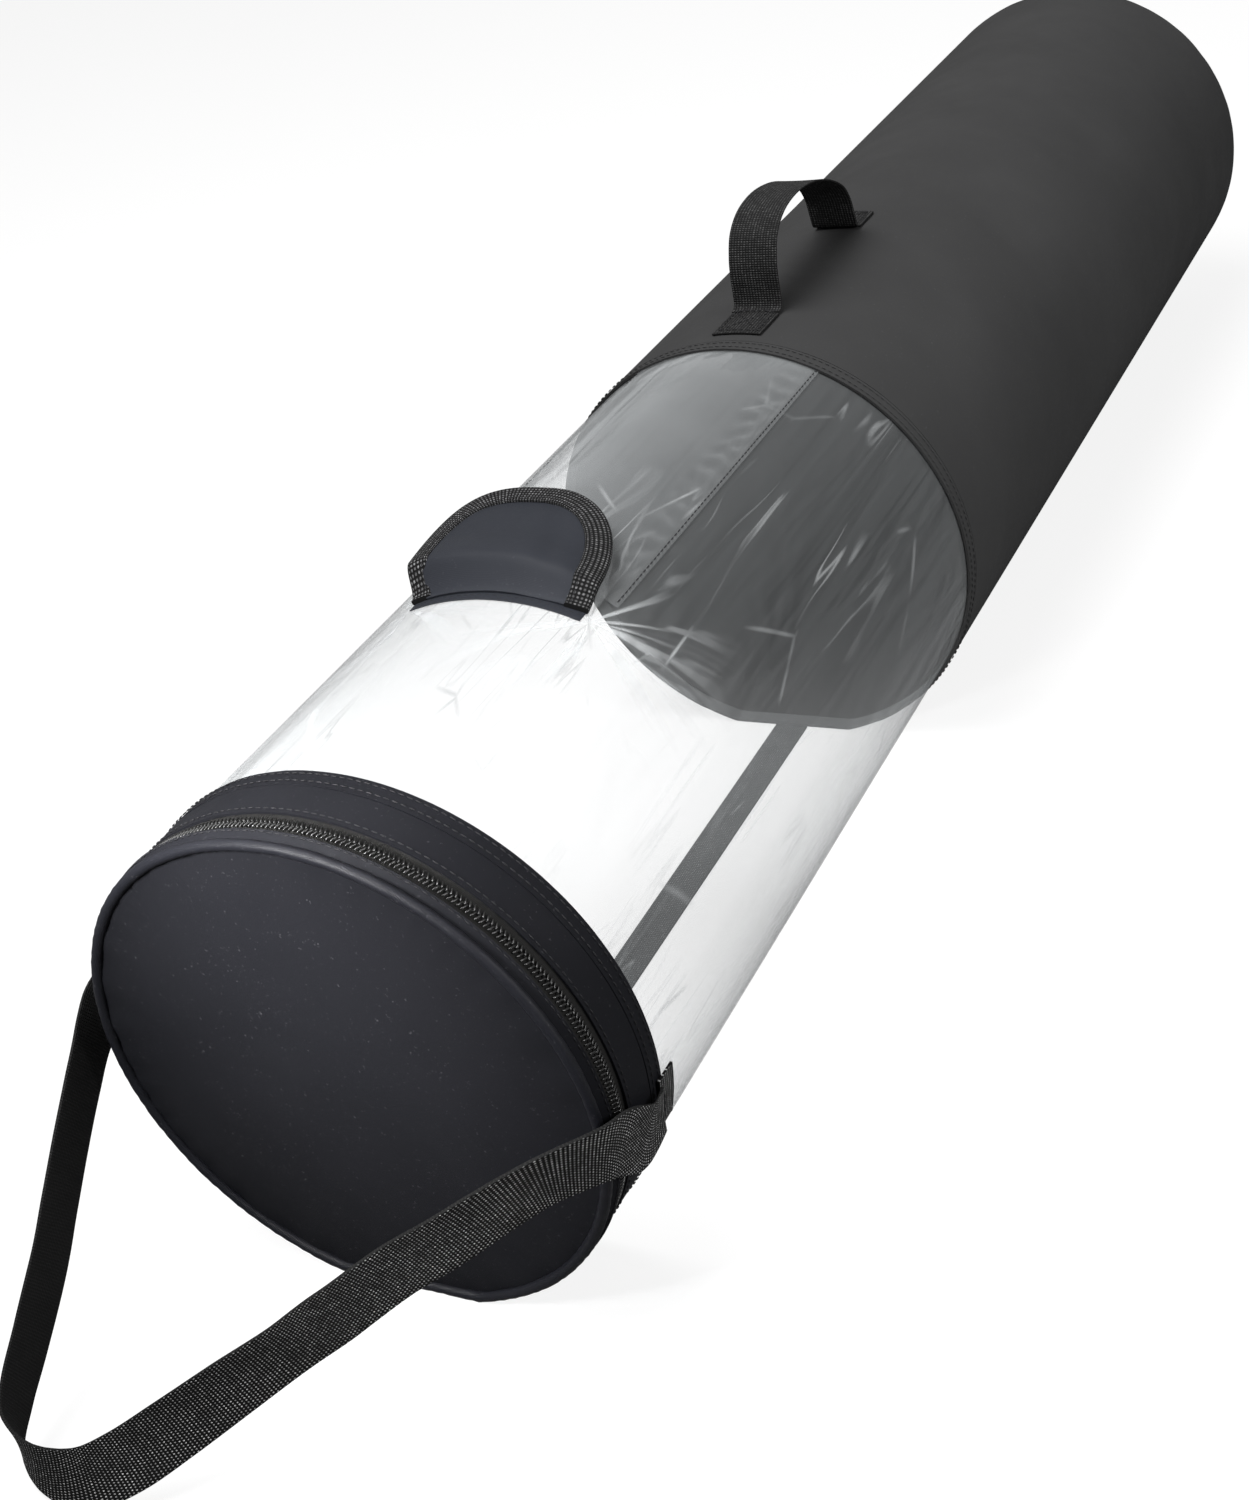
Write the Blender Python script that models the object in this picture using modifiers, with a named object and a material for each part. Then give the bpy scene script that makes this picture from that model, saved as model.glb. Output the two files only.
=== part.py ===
"""A long round storage bag for wrapping rolls, lying on its side.

The bag is a fabric tube with a clear window, a zipped lid at one end, a clear pocket with a flap,
a grab handle and a carry strap. It is modelled in its filled shape and empty, in metres, +Z up.
The bag frame is an empty on the tube's axis at the front of the lid: y runs along the tube towards
the base, z is height over the axis, and an angle round the tube is measured from straight down.
"""

from math import acos, asin, ceil, cos, pi, radians, sin, sqrt

import bmesh
import bpy
from mathutils import Matrix, Vector

# Overall sizes
bag_length = 1.042
bag_radius = 0.115
rest_flat_depth = 0.005          # how far the soft underside settles flat
axis_height = bag_radius - rest_flat_depth
seat_gap = 0.0003                # space kept between pieces that touch
facet_turn = radians(5.1)        # largest turn of one facet round the tube
top_angle = pi
flat_half_angle = acos(axis_height / bag_radius)

# Walls
fabric_wall = 0.0016
body_wall = 0.0020
film_wall = 0.0012
hem_raise = 0.0004               # a folded hem stands this far over plain fabric, except underneath

# Lid and zip, along the tube from the front of the lid
piping_radius = 0.0022
piping_centre_y = 0.0024
lid_crown = 0.0040
lid_rim_y = 0.0034
lid_panel_inset = 0.0052
band_start_y = piping_centre_y + piping_radius + 2 * seat_gap
band_end_y = 0.0095
chain_y = 0.0150                 # middle of the zip chain
tooth_back = 0.0034              # from the middle of the chain to the back of a tooth row
tooth_root = 0.0013
tooth_reach = 0.0010             # how far a tooth passes the middle of the chain
tooth_pitch = 0.0038
tooth_height = 0.0015
tooth_tip_share = 0.34
tooth_slack = 0.0003
tape_wall = 0.0008
tape_edge = 0.0008               # from the middle of the chain to the inner edge of a tape
tape_tuck = 0.0025               # how far a tape runs in under the fabric beside it
collar_start_y = 0.0208
gusset_half_angle = radians(21.7)
chain_end_angle = radians(33)
zip_end_gap_angle = radians(0.3)

# Collar, window and body along the tube
collar_end_y = 0.047
hem_width = 0.0095
window_end_y = 0.427
film_tuck = 0.0085               # how far the film runs in under each hem
seam_half_width = 0.009
base_crown = 0.0030
base_seam_radius = 0.0018
base_seam_inset = 0.0020

# Pocket and flap on top of the window
pocket_half_angle = radians(26)
pocket_mouth_y = 0.195
pocket_mouth_bulge = 0.007       # how far the mouth stands open under the flap
pocket_bulge = 0.010
pocket_bulge_length = 0.058      # from the mouth to where the bulge is full
pocket_wall = 0.0010
pocket_rise_share = 0.22         # share of the pocket's length over which the far end rises
flap_half_width = 0.0440
flap_root_start_y = 0.177
flap_root_length = 0.0055
flap_length = 0.070              # from the stitched root's front edge to the tip
flap_wall = 0.0016
flap_lift = 0.0030               # room under the flap for the two fastener patches
flap_straight_share = 0.14
flap_corner_power = 2.35         # 2 gives an ellipse, more gives squarer corners
flap_skew = 0.0055               # how far the tip sits towards the left
flap_left_lift = 0.0125          # the stiff leaf stands off the round at its left side
flap_right_lift = 0.0020
flap_lift_start_share = 0.5
binding_width = 0.0110
binding_wall = 0.0028
patch_wall = 0.0009
patch_half_width = 0.014
patch_length = 0.012
patch_from_tip = 0.030

# Webbing
webbing_width = 0.0270
webbing_wall = 0.0016
strap_width = 0.0260
strap_wall = 0.0018
tab_front_y = 0.4435
tab_front_length = 0.0305
loop_span = 0.113
tab_rear_length = 0.025
loop_height = 0.0475
loop_root_half_width = 0.0016
loop_root_slope = 1.2            # how fast the loop widens over its sewn roots
loop_root_rise = 0.0012
handle_axis_rise = loop_root_rise
anchor_front_y = 0.0415
anchor_length = 0.0125
strap_right_rise = -0.0234       # height of the strap's sewn ends over the tube's axis
strap_left_rise = 0.0080

# Zip slider and pull
slider_angle = radians(27.0)
slider_half_length = 0.0088
slider_half_width = 0.0052
slider_nose_share = 0.62
slider_wall = 0.0014
slider_rise = 0.0003
flange_wall = 0.0010
flange_drop = 0.0009
bridge_half_length = 0.0042
bridge_half_width = 0.0011
bridge_rise = 0.0026
pull_wall = 0.0010
pull_length = 0.0260
pull_half_width = 0.0038
pull_bar_half = 0.0005           # half the size of the pull's end bar, which turns under the bridge
pull_eye_half_width = 0.0016
pull_eye_end = 0.0052            # from the pull's turning axis to the far end of its eye
pull_rail_width = 0.0012
pull_rise = 0.0002

# The strap's route from its right end to its left, in the bag frame, chosen by hand
strap_route = [
    (0.1161, 0.0412, -0.0234), (0.1166, 0.0330, -0.0240), (0.1174, 0.0250, -0.0222),
    (0.1184, 0.0165, -0.0160), (0.1188, 0.0070, -0.0085), (0.1166, -0.0062, -0.0033),
    (0.1043, -0.0248, -0.0006), (0.0891, -0.0384, -0.0057), (0.0720, -0.0489, -0.0152),
    (0.0522, -0.0571, -0.0270), (0.0319, -0.0663, -0.0415), (0.0110, -0.0753, -0.0566),
    (-0.0114, -0.0911, -0.0695), (-0.0325, -0.1072, -0.0815), (-0.0505, -0.1202, -0.0912),
    (-0.0655, -0.1285, -0.0962), (-0.0810, -0.1315, -0.0958), (-0.0945, -0.1290, -0.0930),
    (-0.1050, -0.1215, -0.0890), (-0.1105, -0.1090, -0.0835), (-0.1148, -0.0900, -0.0743),
    (-0.1190, -0.0650, -0.0590), (-0.1225, -0.0470, -0.0460), (-0.1269, -0.0255, -0.0310),
    (-0.1312, -0.0040, -0.0170), (-0.1338, 0.0130, -0.0060), (-0.1320, 0.0250, 0.0020),
    (-0.1245, 0.0340, 0.0068), (-0.1190, 0.0412, 0.0080),
]
# How far the strap's upper edge leans towards the inside of its loop, in degrees, at the same points
strap_leans = [
    -11.5, -11.5, -11, -9, -7, -7, -7, -7, -7, -7, -6, -3, 8, 18, 25, 20, 10, 3, 0, 0, 0, 0, 0, 0, 0, 0, 0,
    3, 4,
]
route_steps = 4

# Working values that follow from the sizes above
film_inset = fabric_wall + seat_gap
tape_inset = film_inset
base_y = bag_length
loop_front_y = tab_front_y + tab_front_length
loop_rear_y = loop_front_y + loop_span
tab_rear_end_y = loop_rear_y + tab_rear_length
flap_hinge_y = flap_root_start_y + flap_root_length
pocket_end_y = window_end_y - seat_gap
hinge_axis = Vector((0, piping_centre_y, piping_centre_y - axis_height))
strap_axis = Vector((0, anchor_front_y, (strap_right_rise + strap_left_rise) / 2))
handle_axis = Vector((0, (loop_front_y + loop_rear_y) / 2, bag_radius + handle_axis_rise))
flap_axis = Vector((0, flap_hinge_y, bag_radius - film_inset + pocket_wall + flap_wall))
bag_axis = Vector((0, 0, 0))
slider_out = Vector((sin(-slider_angle), 0, -cos(slider_angle)))
slider_along = Vector((-cos(slider_angle), 0, sin(slider_angle)))
slider_place = slider_out * bag_radius + Vector((0, chain_y, 0))
sole_height = slider_rise + slider_wall
pull_axis = slider_place + slider_out * (sole_height + pull_rise + pull_wall / 2)

for old in list(bpy.data.objects):
    bpy.data.objects.remove(old, do_unlink=True)

parts = bpy.data.collections.new("wrapping_roll_bag")
cutters = bpy.data.collections.new("cutters")
bpy.context.scene.collection.children.link(parts)
bpy.context.scene.collection.children.link(cutters)


def make_material(name, colour, roughness, alpha=1.0):
    """A Principled material of one colour."""
    material = bpy.data.materials.new(name)
    material.use_nodes = True
    shader = material.node_tree.nodes["Principled BSDF"]
    shader.inputs["Base Color"].default_value = (*colour, 1.0)
    shader.inputs["Roughness"].default_value = roughness
    shader.inputs["Metallic"].default_value = 0.0
    shader.inputs["Alpha"].default_value = alpha
    material.diffuse_color = (*colour, alpha)
    return material


def make_empty(name, place, parent=None):
    """An empty that carries pieces, on the axis that they turn about."""
    empty = bpy.data.objects.new(name, None)
    empty.empty_display_size = bag_radius / 2
    empty.parent = parent
    empty.location = place
    parts.objects.link(empty)
    return empty


bag = make_empty("bag_axis", (0, -bag_length / 2, axis_height))
lid_pivot = make_empty("lid_hinge_axis", hinge_axis, bag)
strap_pivot = make_empty("strap_swing_axis", strap_axis, bag)
handle_pivot = make_empty("handle_lean_axis", handle_axis, bag)
flap_pivot = make_empty("flap_hinge_axis", flap_axis, bag)
slider_pivot = make_empty("zip_travel_axis", bag_axis, bag)
pull_pivot = make_empty("pull_swing_axis", pull_axis, slider_pivot)


def carrier_place(carrier):
    """Where a carrying empty stands in the bag frame."""
    place = Vector((0, 0, 0))
    while carrier is not bag:
        place += carrier.location
        carrier = carrier.parent
    return place


def finish_object(name, mesh, carrier, colour, roughness=0.6, alpha=1.0):
    """Make the mesh, drawn in the bag frame, an object whose origin is on its carrier's axis."""
    mesh.transform(Matrix.Translation(-carrier_place(carrier)))
    obj = bpy.data.objects.new(name, mesh)
    obj.parent = carrier
    parts.objects.link(obj)
    mesh.materials.append(make_material(name, colour, roughness, alpha))
    mesh.set_sharp_from_angle(angle=radians(35))
    return obj


def mesh_from(bm, name):
    """Turn a bmesh into a mesh with its faces pointing out."""
    bmesh.ops.recalc_face_normals(bm, faces=bm.faces)
    mesh = bpy.data.meshes.new(name)
    bm.to_mesh(mesh)
    bm.free()
    mesh.shade_smooth()
    return mesh


def section_point(angle, y, inset):
    """A point at one depth under the bag's skin. The underside is flat, where the bag rests."""
    reach = bag_radius - inset
    if cos(angle) > 0:
        reach = min(reach, (axis_height - max(inset, 0)) / cos(angle))
    return Vector((reach * sin(angle), y, -reach * cos(angle)))


def turns(start, end):
    """Angles from start to end in equal facets."""
    count = max(1, ceil((end - start) / facet_turn))
    return [start + (end - start) * step / count for step in range(count + 1)]


full_round = turns(flat_half_angle, 2 * pi - flat_half_angle)
zip_round = turns(gusset_half_angle + zip_end_gap_angle, 2 * pi - gusset_half_angle - zip_end_gap_angle)
gusset_round = [-gusset_half_angle, -flat_half_angle, flat_half_angle, gusset_half_angle]


def sweep(name, profile, angles, closed_round=True, open_profile=False):
    """Carry a profile of (y, inset) points round the bag's section.

    A Screw modifier makes only true rounds, and this section has a flat underside.
    An open profile starts and ends near the axis, where its two loops are filled as discs.
    """
    bm = bmesh.new()
    rings = [[bm.verts.new(section_point(angle, y, inset)) for y, inset in profile] for angle in angles]
    around = len(rings) if closed_round else len(rings) - 1
    along = len(profile) - 1 if open_profile else len(profile)
    for step in range(around):
        here = rings[step]
        after = rings[(step + 1) % len(rings)]
        for row in range(along):
            beyond = (row + 1) % len(profile)
            bm.faces.new((here[row], here[beyond], after[beyond], after[row]))
    if open_profile:
        bm.faces.new([ring[0] for ring in rings])
        bm.faces.new([ring[-1] for ring in rings])
    if not closed_round:
        bm.faces.new(rings[0])
        bm.faces.new(rings[-1])
    return mesh_from(bm, name)


def wall(start_y, end_y, inset, thickness):
    """The profile of a plain band of fabric or film."""
    return [(start_y, inset), (end_y, inset), (end_y, inset + thickness), (start_y, inset + thickness)]


def disc_profile(rim_y, crown, rim_inset, thickness, direction):
    """The profile of a crowned end panel: its outer face from the middle to the rim, then back inside."""
    rings = (0.84, 0.58, 0.30, 0.10, 0.0)
    outer = []
    for share in rings:
        swell = 1 - (1 - share) ** 2
        inset = rim_inset + (bag_radius - rim_inset) * share
        outer.append((rim_y + direction * crown * swell, inset))
    inner = [(y - direction * thickness, inset) for y, inset in reversed(outer)]
    return outer + inner


def skin_patch(name, rows, thickness, outwards=True):
    """A sheet given by rows of points that is thickened by a Solidify modifier."""
    bm = bmesh.new()
    grid = [[bm.verts.new(point) for point in row] for row in rows]
    for low, high in zip(grid, grid[1:]):
        for column in range(len(low) - 1):
            bm.faces.new((low[column], low[column + 1], high[column + 1], high[column]))
    bm.normal_update()
    facing = sum((face.normal.dot(face.calc_center_median() * Vector((1, 0, 1))) for face in bm.faces), 0.0)
    if facing < 0:
        bmesh.ops.reverse_faces(bm, faces=bm.faces)
    mesh = bpy.data.meshes.new(name)
    bm.to_mesh(mesh)
    bm.free()
    mesh.shade_smooth()
    return mesh


def thicken(obj, thickness, offset=1.0):
    """Give an open sheet its thickness, outwards when offset is 1 and both ways when it is 0."""
    solid = obj.modifiers.new("thickness", "SOLIDIFY")
    solid.thickness = thickness
    solid.offset = offset
    solid.use_even_offset = True
    return obj


def ribbon(name, centres, widths, thickness):
    """Flat webbing: a strip along the centres whose two edges lie along the width vectors."""
    bm = bmesh.new()
    strips = []
    for index, (centre, width) in enumerate(zip(centres, widths)):
        before = centres[max(index - 1, 0)]
        after = centres[min(index + 1, len(centres) - 1)]
        normal = (after - before).cross(width).normalized() * (thickness / 2)
        corners = (centre - width + normal, centre + width + normal, centre + width - normal, centre - width - normal)
        strips.append([bm.verts.new(corner) for corner in corners])
    for here, after in zip(strips, strips[1:]):
        for side in range(len(here)):
            other = (side + 1) % len(here)
            bm.faces.new((here[side], here[other], after[other], after[side]))
    bm.faces.new(strips[0])
    bm.faces.new(strips[-1])
    return mesh_from(bm, name)


def smooth_route(points, steps):
    """Points read from a smooth curve that runs through all of the route's own points."""
    ends = [2 * points[0] - points[1], *points, 2 * points[-1] - points[-2]]
    route = []
    for first, start, end, last in zip(ends, ends[1:], ends[2:], ends[3:]):
        for step in range(steps):
            t = step / steps
            route.append(
                start
                + (end - first) * (t / 2)
                + (2 * first - 5 * start + 4 * end - last) * (t * t / 2)
                + (3 * start - first - 3 * end + last) * (t * t * t / 2)
            )
    return route + [points[-1]]


# Colours, as linear values
satin_black = (0.012, 0.013, 0.016)
body_charcoal = (0.050, 0.050, 0.051)
webbing_black = (0.016, 0.016, 0.016)
tape_black = (0.011, 0.010, 0.010)
coil_black = (0.014, 0.014, 0.014)
film_clear = (0.92, 0.94, 0.95)


def build_lid():
    """The crowned end panel, its rolled piping and the narrow band that the zip is sewn to."""
    profile = disc_profile(lid_rim_y, lid_crown, lid_panel_inset, body_wall, -1)
    finish_object("lid_panel", sweep("lid_panel", profile, full_round, open_profile=True), lid_pivot, satin_black)

    outline = [section_point(angle, piping_centre_y, piping_radius + seat_gap) for angle in full_round]
    curve = bpy.data.curves.new("lid_piping_path", "CURVE")
    curve.dimensions = "3D"
    curve.bevel_depth = piping_radius
    curve.bevel_resolution = 1
    spline = curve.splines.new("POLY")
    spline.points.add(len(outline) - 1)
    for point, place in zip(spline.points, outline):
        point.co = (*(place - carrier_place(lid_pivot)), 1.0)
    spline.use_cyclic_u = True
    piping = bpy.data.objects.new("lid_piping", curve)
    piping.parent = lid_pivot
    parts.objects.link(piping)
    curve.materials.append(make_material("lid_piping", satin_black, 0.5))

    band = wall(band_start_y, band_end_y, 0, fabric_wall)
    finish_object("lid_band", sweep("lid_band", band, zip_round, closed_round=False), lid_pivot, satin_black)


def build_zip():
    """The two tapes and the two rows of teeth, which mesh along the middle of the chain."""
    lid_tape = wall(band_end_y - tape_tuck, chain_y - tape_edge, tape_inset, tape_wall)
    mesh = sweep("zip_tape_lid", lid_tape, zip_round, closed_round=False)
    finish_object("zip_tape_lid", mesh, lid_pivot, tape_black, 0.8)
    collar_tape = wall(chain_y + tape_edge, collar_start_y + tape_tuck, tape_inset, tape_wall)
    mesh = sweep("zip_tape_collar", collar_tape, zip_round, closed_round=False)
    finish_object("zip_tape_collar", mesh, bag, tape_black, 0.8)
    finish_object("zip_teeth_lid", tooth_row("zip_teeth_lid", 1), lid_pivot, coil_black, 0.35)
    finish_object("zip_teeth_collar", tooth_row("zip_teeth_collar", -1), bag, coil_black, 0.35)


def tooth_row(name, direction):
    """One toothed strip. Teeth point along direction, and the other row's teeth enter their gaps.

    Near the hinge the lid lifts as it opens, so there the teeth reach less far into the other row.
    """
    start = chain_end_angle
    end = 2 * pi - chain_end_angle
    count = int((end - start) * bag_radius / tooth_pitch)
    step = (end - start) / count
    shift = 0.0 if direction > 0 else step / 2
    gap_share = tooth_slack / tooth_pitch
    root_half = step * (0.5 - tooth_tip_share / 2 - gap_share)
    tip_half = step * (tooth_tip_share / 2 - gap_share)
    back_y = chain_y - direction * tooth_back
    top_inset = film_inset - seat_gap - tooth_height
    depths = (top_inset, top_inset + tooth_height)
    bm = bmesh.new()
    columns = []
    for index in range(count):
        middle = start + step / 4 + shift + index * step
        height = axis_height - bag_radius * cos(middle)
        reach = min(tooth_reach, tooth_slack * height / (chain_y - piping_centre_y) - tooth_slack / 2)
        root_y = chain_y - direction * (tooth_root + tooth_slack)
        tip_y = chain_y + direction * reach
        for side in (-1, 1):
            root = middle + side * root_half
            tip = middle + side * tip_half
            places = ((root, back_y), (root, root_y), (tip, tip_y))
            columns.append([[bm.verts.new(section_point(a, y, d)) for d in depths] for a, y in places])
    for index, (left, right) in enumerate(zip(columns, columns[1:])):
        is_tooth = index % 2 == 0
        quad_strip(bm, left[:2], right[:2])
        wall_between(bm, left[0], right[0])
        if is_tooth:
            quad_strip(bm, left[1:], right[1:])
            wall_between(bm, left[2], right[2])
            wall_between(bm, left[1], left[2])
            wall_between(bm, right[1], right[2])
        else:
            wall_between(bm, left[1], right[1])
    for column in (columns[0], columns[-1]):
        wall_between(bm, column[0], column[1])
    return mesh_from(bm, name)


def quad_strip(bm, left, right):
    """The outer and the inner face between two columns of a toothed strip."""
    for depth in range(2):
        bm.faces.new((left[0][depth], left[1][depth], right[1][depth], right[0][depth]))


def wall_between(bm, one, other):
    """The edge face that joins the outer and the inner side of a strip."""
    bm.faces.new((one[0], one[1], other[1], other[0]))


def build_bag_tube():
    """Everything sewn into the tube: gusset, collar, window, body and base."""
    gusset = wall(band_start_y, collar_start_y - seat_gap, 0, fabric_wall)
    mesh = sweep("hinge_gusset", gusset, gusset_round, closed_round=False)
    finish_object("hinge_gusset", mesh, bag, satin_black)

    hem_start_y = collar_end_y - hem_width
    collar = wall(collar_start_y, hem_start_y - seat_gap, 0, fabric_wall)
    finish_object("collar_band", sweep("collar_band", collar, full_round), bag, satin_black)
    collar_hem = wall(hem_start_y, collar_end_y, -hem_raise, fabric_wall + hem_raise)
    finish_object("collar_hem", sweep("collar_hem", collar_hem, full_round), bag, satin_black)

    film = wall(collar_end_y - film_tuck, window_end_y + film_tuck, film_inset, film_wall)
    finish_object("window_tube", sweep("window_tube", film, full_round), bag, film_clear, 0.08, 0.25)

    seam = wall(collar_end_y + seat_gap, window_end_y - seat_gap, 0, fabric_wall)
    seam_half_angle = seam_half_width / axis_height
    mesh = sweep("back_seam_tape", seam, [-seam_half_angle, seam_half_angle], closed_round=False)
    finish_object("back_seam_tape", mesh, bag, tape_black)

    hem_end_y = window_end_y + hem_width
    body_hem = wall(window_end_y, hem_end_y, -hem_raise, fabric_wall + hem_raise)
    mesh = sweep("body_hem", body_hem, full_round)
    finish_object("body_hem", mesh, bag, body_charcoal)
    base_seam_y = base_y - base_crown - base_seam_radius
    body = wall(hem_end_y + seat_gap, base_seam_y - base_seam_radius - seat_gap, 0, body_wall)
    finish_object("body_tube", sweep("body_tube", body, full_round), bag, body_charcoal)

    seam_ring = []
    for corner in range(6):
        turn = 2 * pi * (corner + 0.5) / 6
        along = base_seam_y + base_seam_radius * cos(turn)
        seam_ring.append((along, base_seam_inset + base_seam_radius * sin(turn)))
    finish_object("base_seam", sweep("base_seam", seam_ring, full_round), bag, body_charcoal)
    panel_inset = base_seam_inset + base_seam_radius + seat_gap
    profile = disc_profile(base_y - base_crown, base_crown, panel_inset, body_wall, 1)
    finish_object("base_panel", sweep("base_panel", profile, full_round, open_profile=True), bag, body_charcoal)


def ease(share):
    """A smooth step from 0 to 1."""
    share = min(1.0, max(0.0, share))
    return (1 - cos(pi * share)) / 2


def pocket_height(y):
    """How far the middle of the pocket stands off the window, apart from its sewn far end."""
    grown = ease((y - pocket_mouth_y) / pocket_bulge_length)
    return pocket_mouth_bulge + (pocket_bulge - pocket_mouth_bulge) * grown


def pocket_rise(angle, y):
    """How far the pocket film stands off the window, with its sides and far end sewn down."""
    across = (angle - top_angle) / pocket_half_angle
    along = (pocket_end_y - y) / (pocket_end_y - pocket_mouth_y)
    end_rise = min(1.0, along / pocket_rise_share)
    return pocket_height(y) * cos(across * pi / 2) * sin(end_rise * pi / 2)


def build_pocket():
    """The second layer of clear film, open towards the lid, with the loop patch that the flap meets."""
    columns = 12
    shares = (0, 0.06, 0.14, 0.24, 0.45, 0.74, 0.82, 0.91, 1.0)
    rows = []
    for share in shares:
        y = pocket_end_y - (pocket_end_y - pocket_mouth_y) * share
        row = []
        for column in range(columns + 1):
            angle = top_angle + pocket_half_angle * (2 * column / columns - 1)
            row.append(section_point(angle, y, film_inset - seat_gap - pocket_rise(angle, y)))
        rows.append(row)
    panel = finish_object("pocket_panel", skin_patch("pocket_panel", rows, pocket_wall), bag, film_clear, 0.08, 0.25)
    thicken(panel, pocket_wall)

    patch = over_pocket("pocket_loop_patch", 0, patch_wall, bag)
    return patch


def over_pocket(name, lift, thickness, carrier):
    """A small fastener patch that lies over the pocket near the flap's tip."""
    tip_y = flap_root_start_y + flap_length
    rows = []
    for share in (0, 0.5, 1):
        y = tip_y - patch_from_tip + patch_length * share
        row = []
        for column in range(7):
            angle = top_angle + patch_half_width / bag_radius * (column / 3 - 1)
            over = pocket_rise(angle, y) + pocket_wall + 2 * seat_gap + lift
            row.append(section_point(angle, y, film_inset - over))
        rows.append(row)
    patch = finish_object(name, skin_patch(name, rows, thickness), carrier, webbing_black, 0.9)
    return thicken(patch, thickness)


def flap_half_angle_at(share):
    """Half the flap's width, as an angle, at a share of its length: straight sides and a round end."""
    half = flap_half_width / bag_radius
    if share <= flap_straight_share:
        return half
    bend = (share - flap_straight_share) / (1 - flap_straight_share)
    return half * max(0.0, 1 - bend ** flap_corner_power) ** (1 / flap_corner_power)


def flap_middle(y):
    """The angle of the flap's middle line, which runs a little to the left."""
    return top_angle + flap_skew / bag_radius * (y - flap_hinge_y) / (flap_length - flap_root_length)


def flap_inset(angle, y):
    """Depth of the flap's under face. It rises from its sewn root over the mouth of the pocket."""
    away = ease((y - flap_hinge_y) / (pocket_mouth_y - flap_hinge_y))
    across = min(1.0, abs(angle - top_angle) / pocket_half_angle)
    side_lift = flap_left_lift if angle > top_angle else flap_right_lift
    along = max(0.0, y - flap_hinge_y) / (flap_length - flap_root_length)
    side_lift *= flap_lift_start_share + (1 - flap_lift_start_share) * along
    over = pocket_height(y) * cos(across * pi / 2) + pocket_wall + flap_lift + side_lift * sin(across * pi / 2) ** 2
    return film_inset - seat_gap - over * away


def build_flap():
    """The flap: a sewn root on the window, the fabric leaf, its woven binding and the hook patch."""
    half = flap_half_width / bag_radius
    root_angles = [top_angle + half * (2 * column / 12 - 1) for column in range(13)]
    root_profile = wall(flap_root_start_y, flap_hinge_y - seat_gap, film_inset - seat_gap - flap_wall, flap_wall)
    finish_object("flap_root", sweep("flap_root", root_profile, root_angles, closed_round=False), bag, satin_black)

    leaf_length = flap_length - flap_root_length
    shares = [0, 0.015, 0.05, 0.09, 0.14, 0.20, 0.28, 0.42, 0.55, 0.68, 0.79, 0.88, 0.95]
    inner_share = 1 - binding_width / flap_half_width
    columns = 12
    rows = []
    for share in shares:
        y = flap_hinge_y + seat_gap + (leaf_length - binding_width) * share
        reach = flap_half_angle_at(share) * inner_share
        row = []
        for column in range(columns + 1):
            angle = flap_middle(y) + reach * (2 * column / columns - 1)
            row.append(section_point(angle, y, flap_inset(angle, y)))
        rows.append(row)
    leaf = finish_object("pocket_flap", skin_patch("pocket_flap", rows, flap_wall), flap_pivot, satin_black)
    thicken(leaf, flap_wall)

    edge_gap = seat_gap / flap_half_width
    edges = ((inner_share + edge_gap, leaf_length - binding_width + seat_gap), (1, leaf_length))
    outline = [(side_share, 0.0) for side_share in (0, 0.08, 0.2, 0.35, 0.5, 0.7)]
    outline += [(1, pi * step / 26) for step in range(27)]
    outline += [(side_share, pi) for side_share in (0.7, 0.5, 0.35, 0.2, 0.08, 0)]
    bm = bmesh.new()
    strips = []
    for side_share, turn in outline:
        corners = []
        for width_share, length in edges:
            rounding = 2 / flap_corner_power
            out = max(0.0, sin(turn)) ** rounding
            aside = half * width_share * abs(cos(turn)) ** rounding
            y = flap_hinge_y + seat_gap
            y += length * (flap_straight_share * side_share + (1 - flap_straight_share) * out)
            corners.append((flap_middle(y) - (aside if turn < pi / 2 else -aside), y))
        strips.append(binding_section(bm, corners))
    for here, after in zip(strips, strips[1:]):
        for side in range(len(here)):
            other = (side + 1) % len(here)
            bm.faces.new((here[side], here[other], after[other], after[side]))
    bm.faces.new(strips[0])
    bm.faces.new(strips[-1])
    finish_object("flap_binding", mesh_from(bm, "flap_binding"), flap_pivot, webbing_black, 0.8)

    over_pocket("flap_hook_patch", patch_wall + seat_gap, patch_wall, flap_pivot)


def binding_section(bm, corners):
    """The four corners of the flap's binding at one place along its edge."""
    points = [section_point(angle, y, flap_inset(angle, y)) for angle, y in corners]
    points += [section_point(angle, y, flap_inset(angle, y) - binding_wall) for angle, y in reversed(corners)]
    return [bm.verts.new(point) for point in points]


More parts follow.
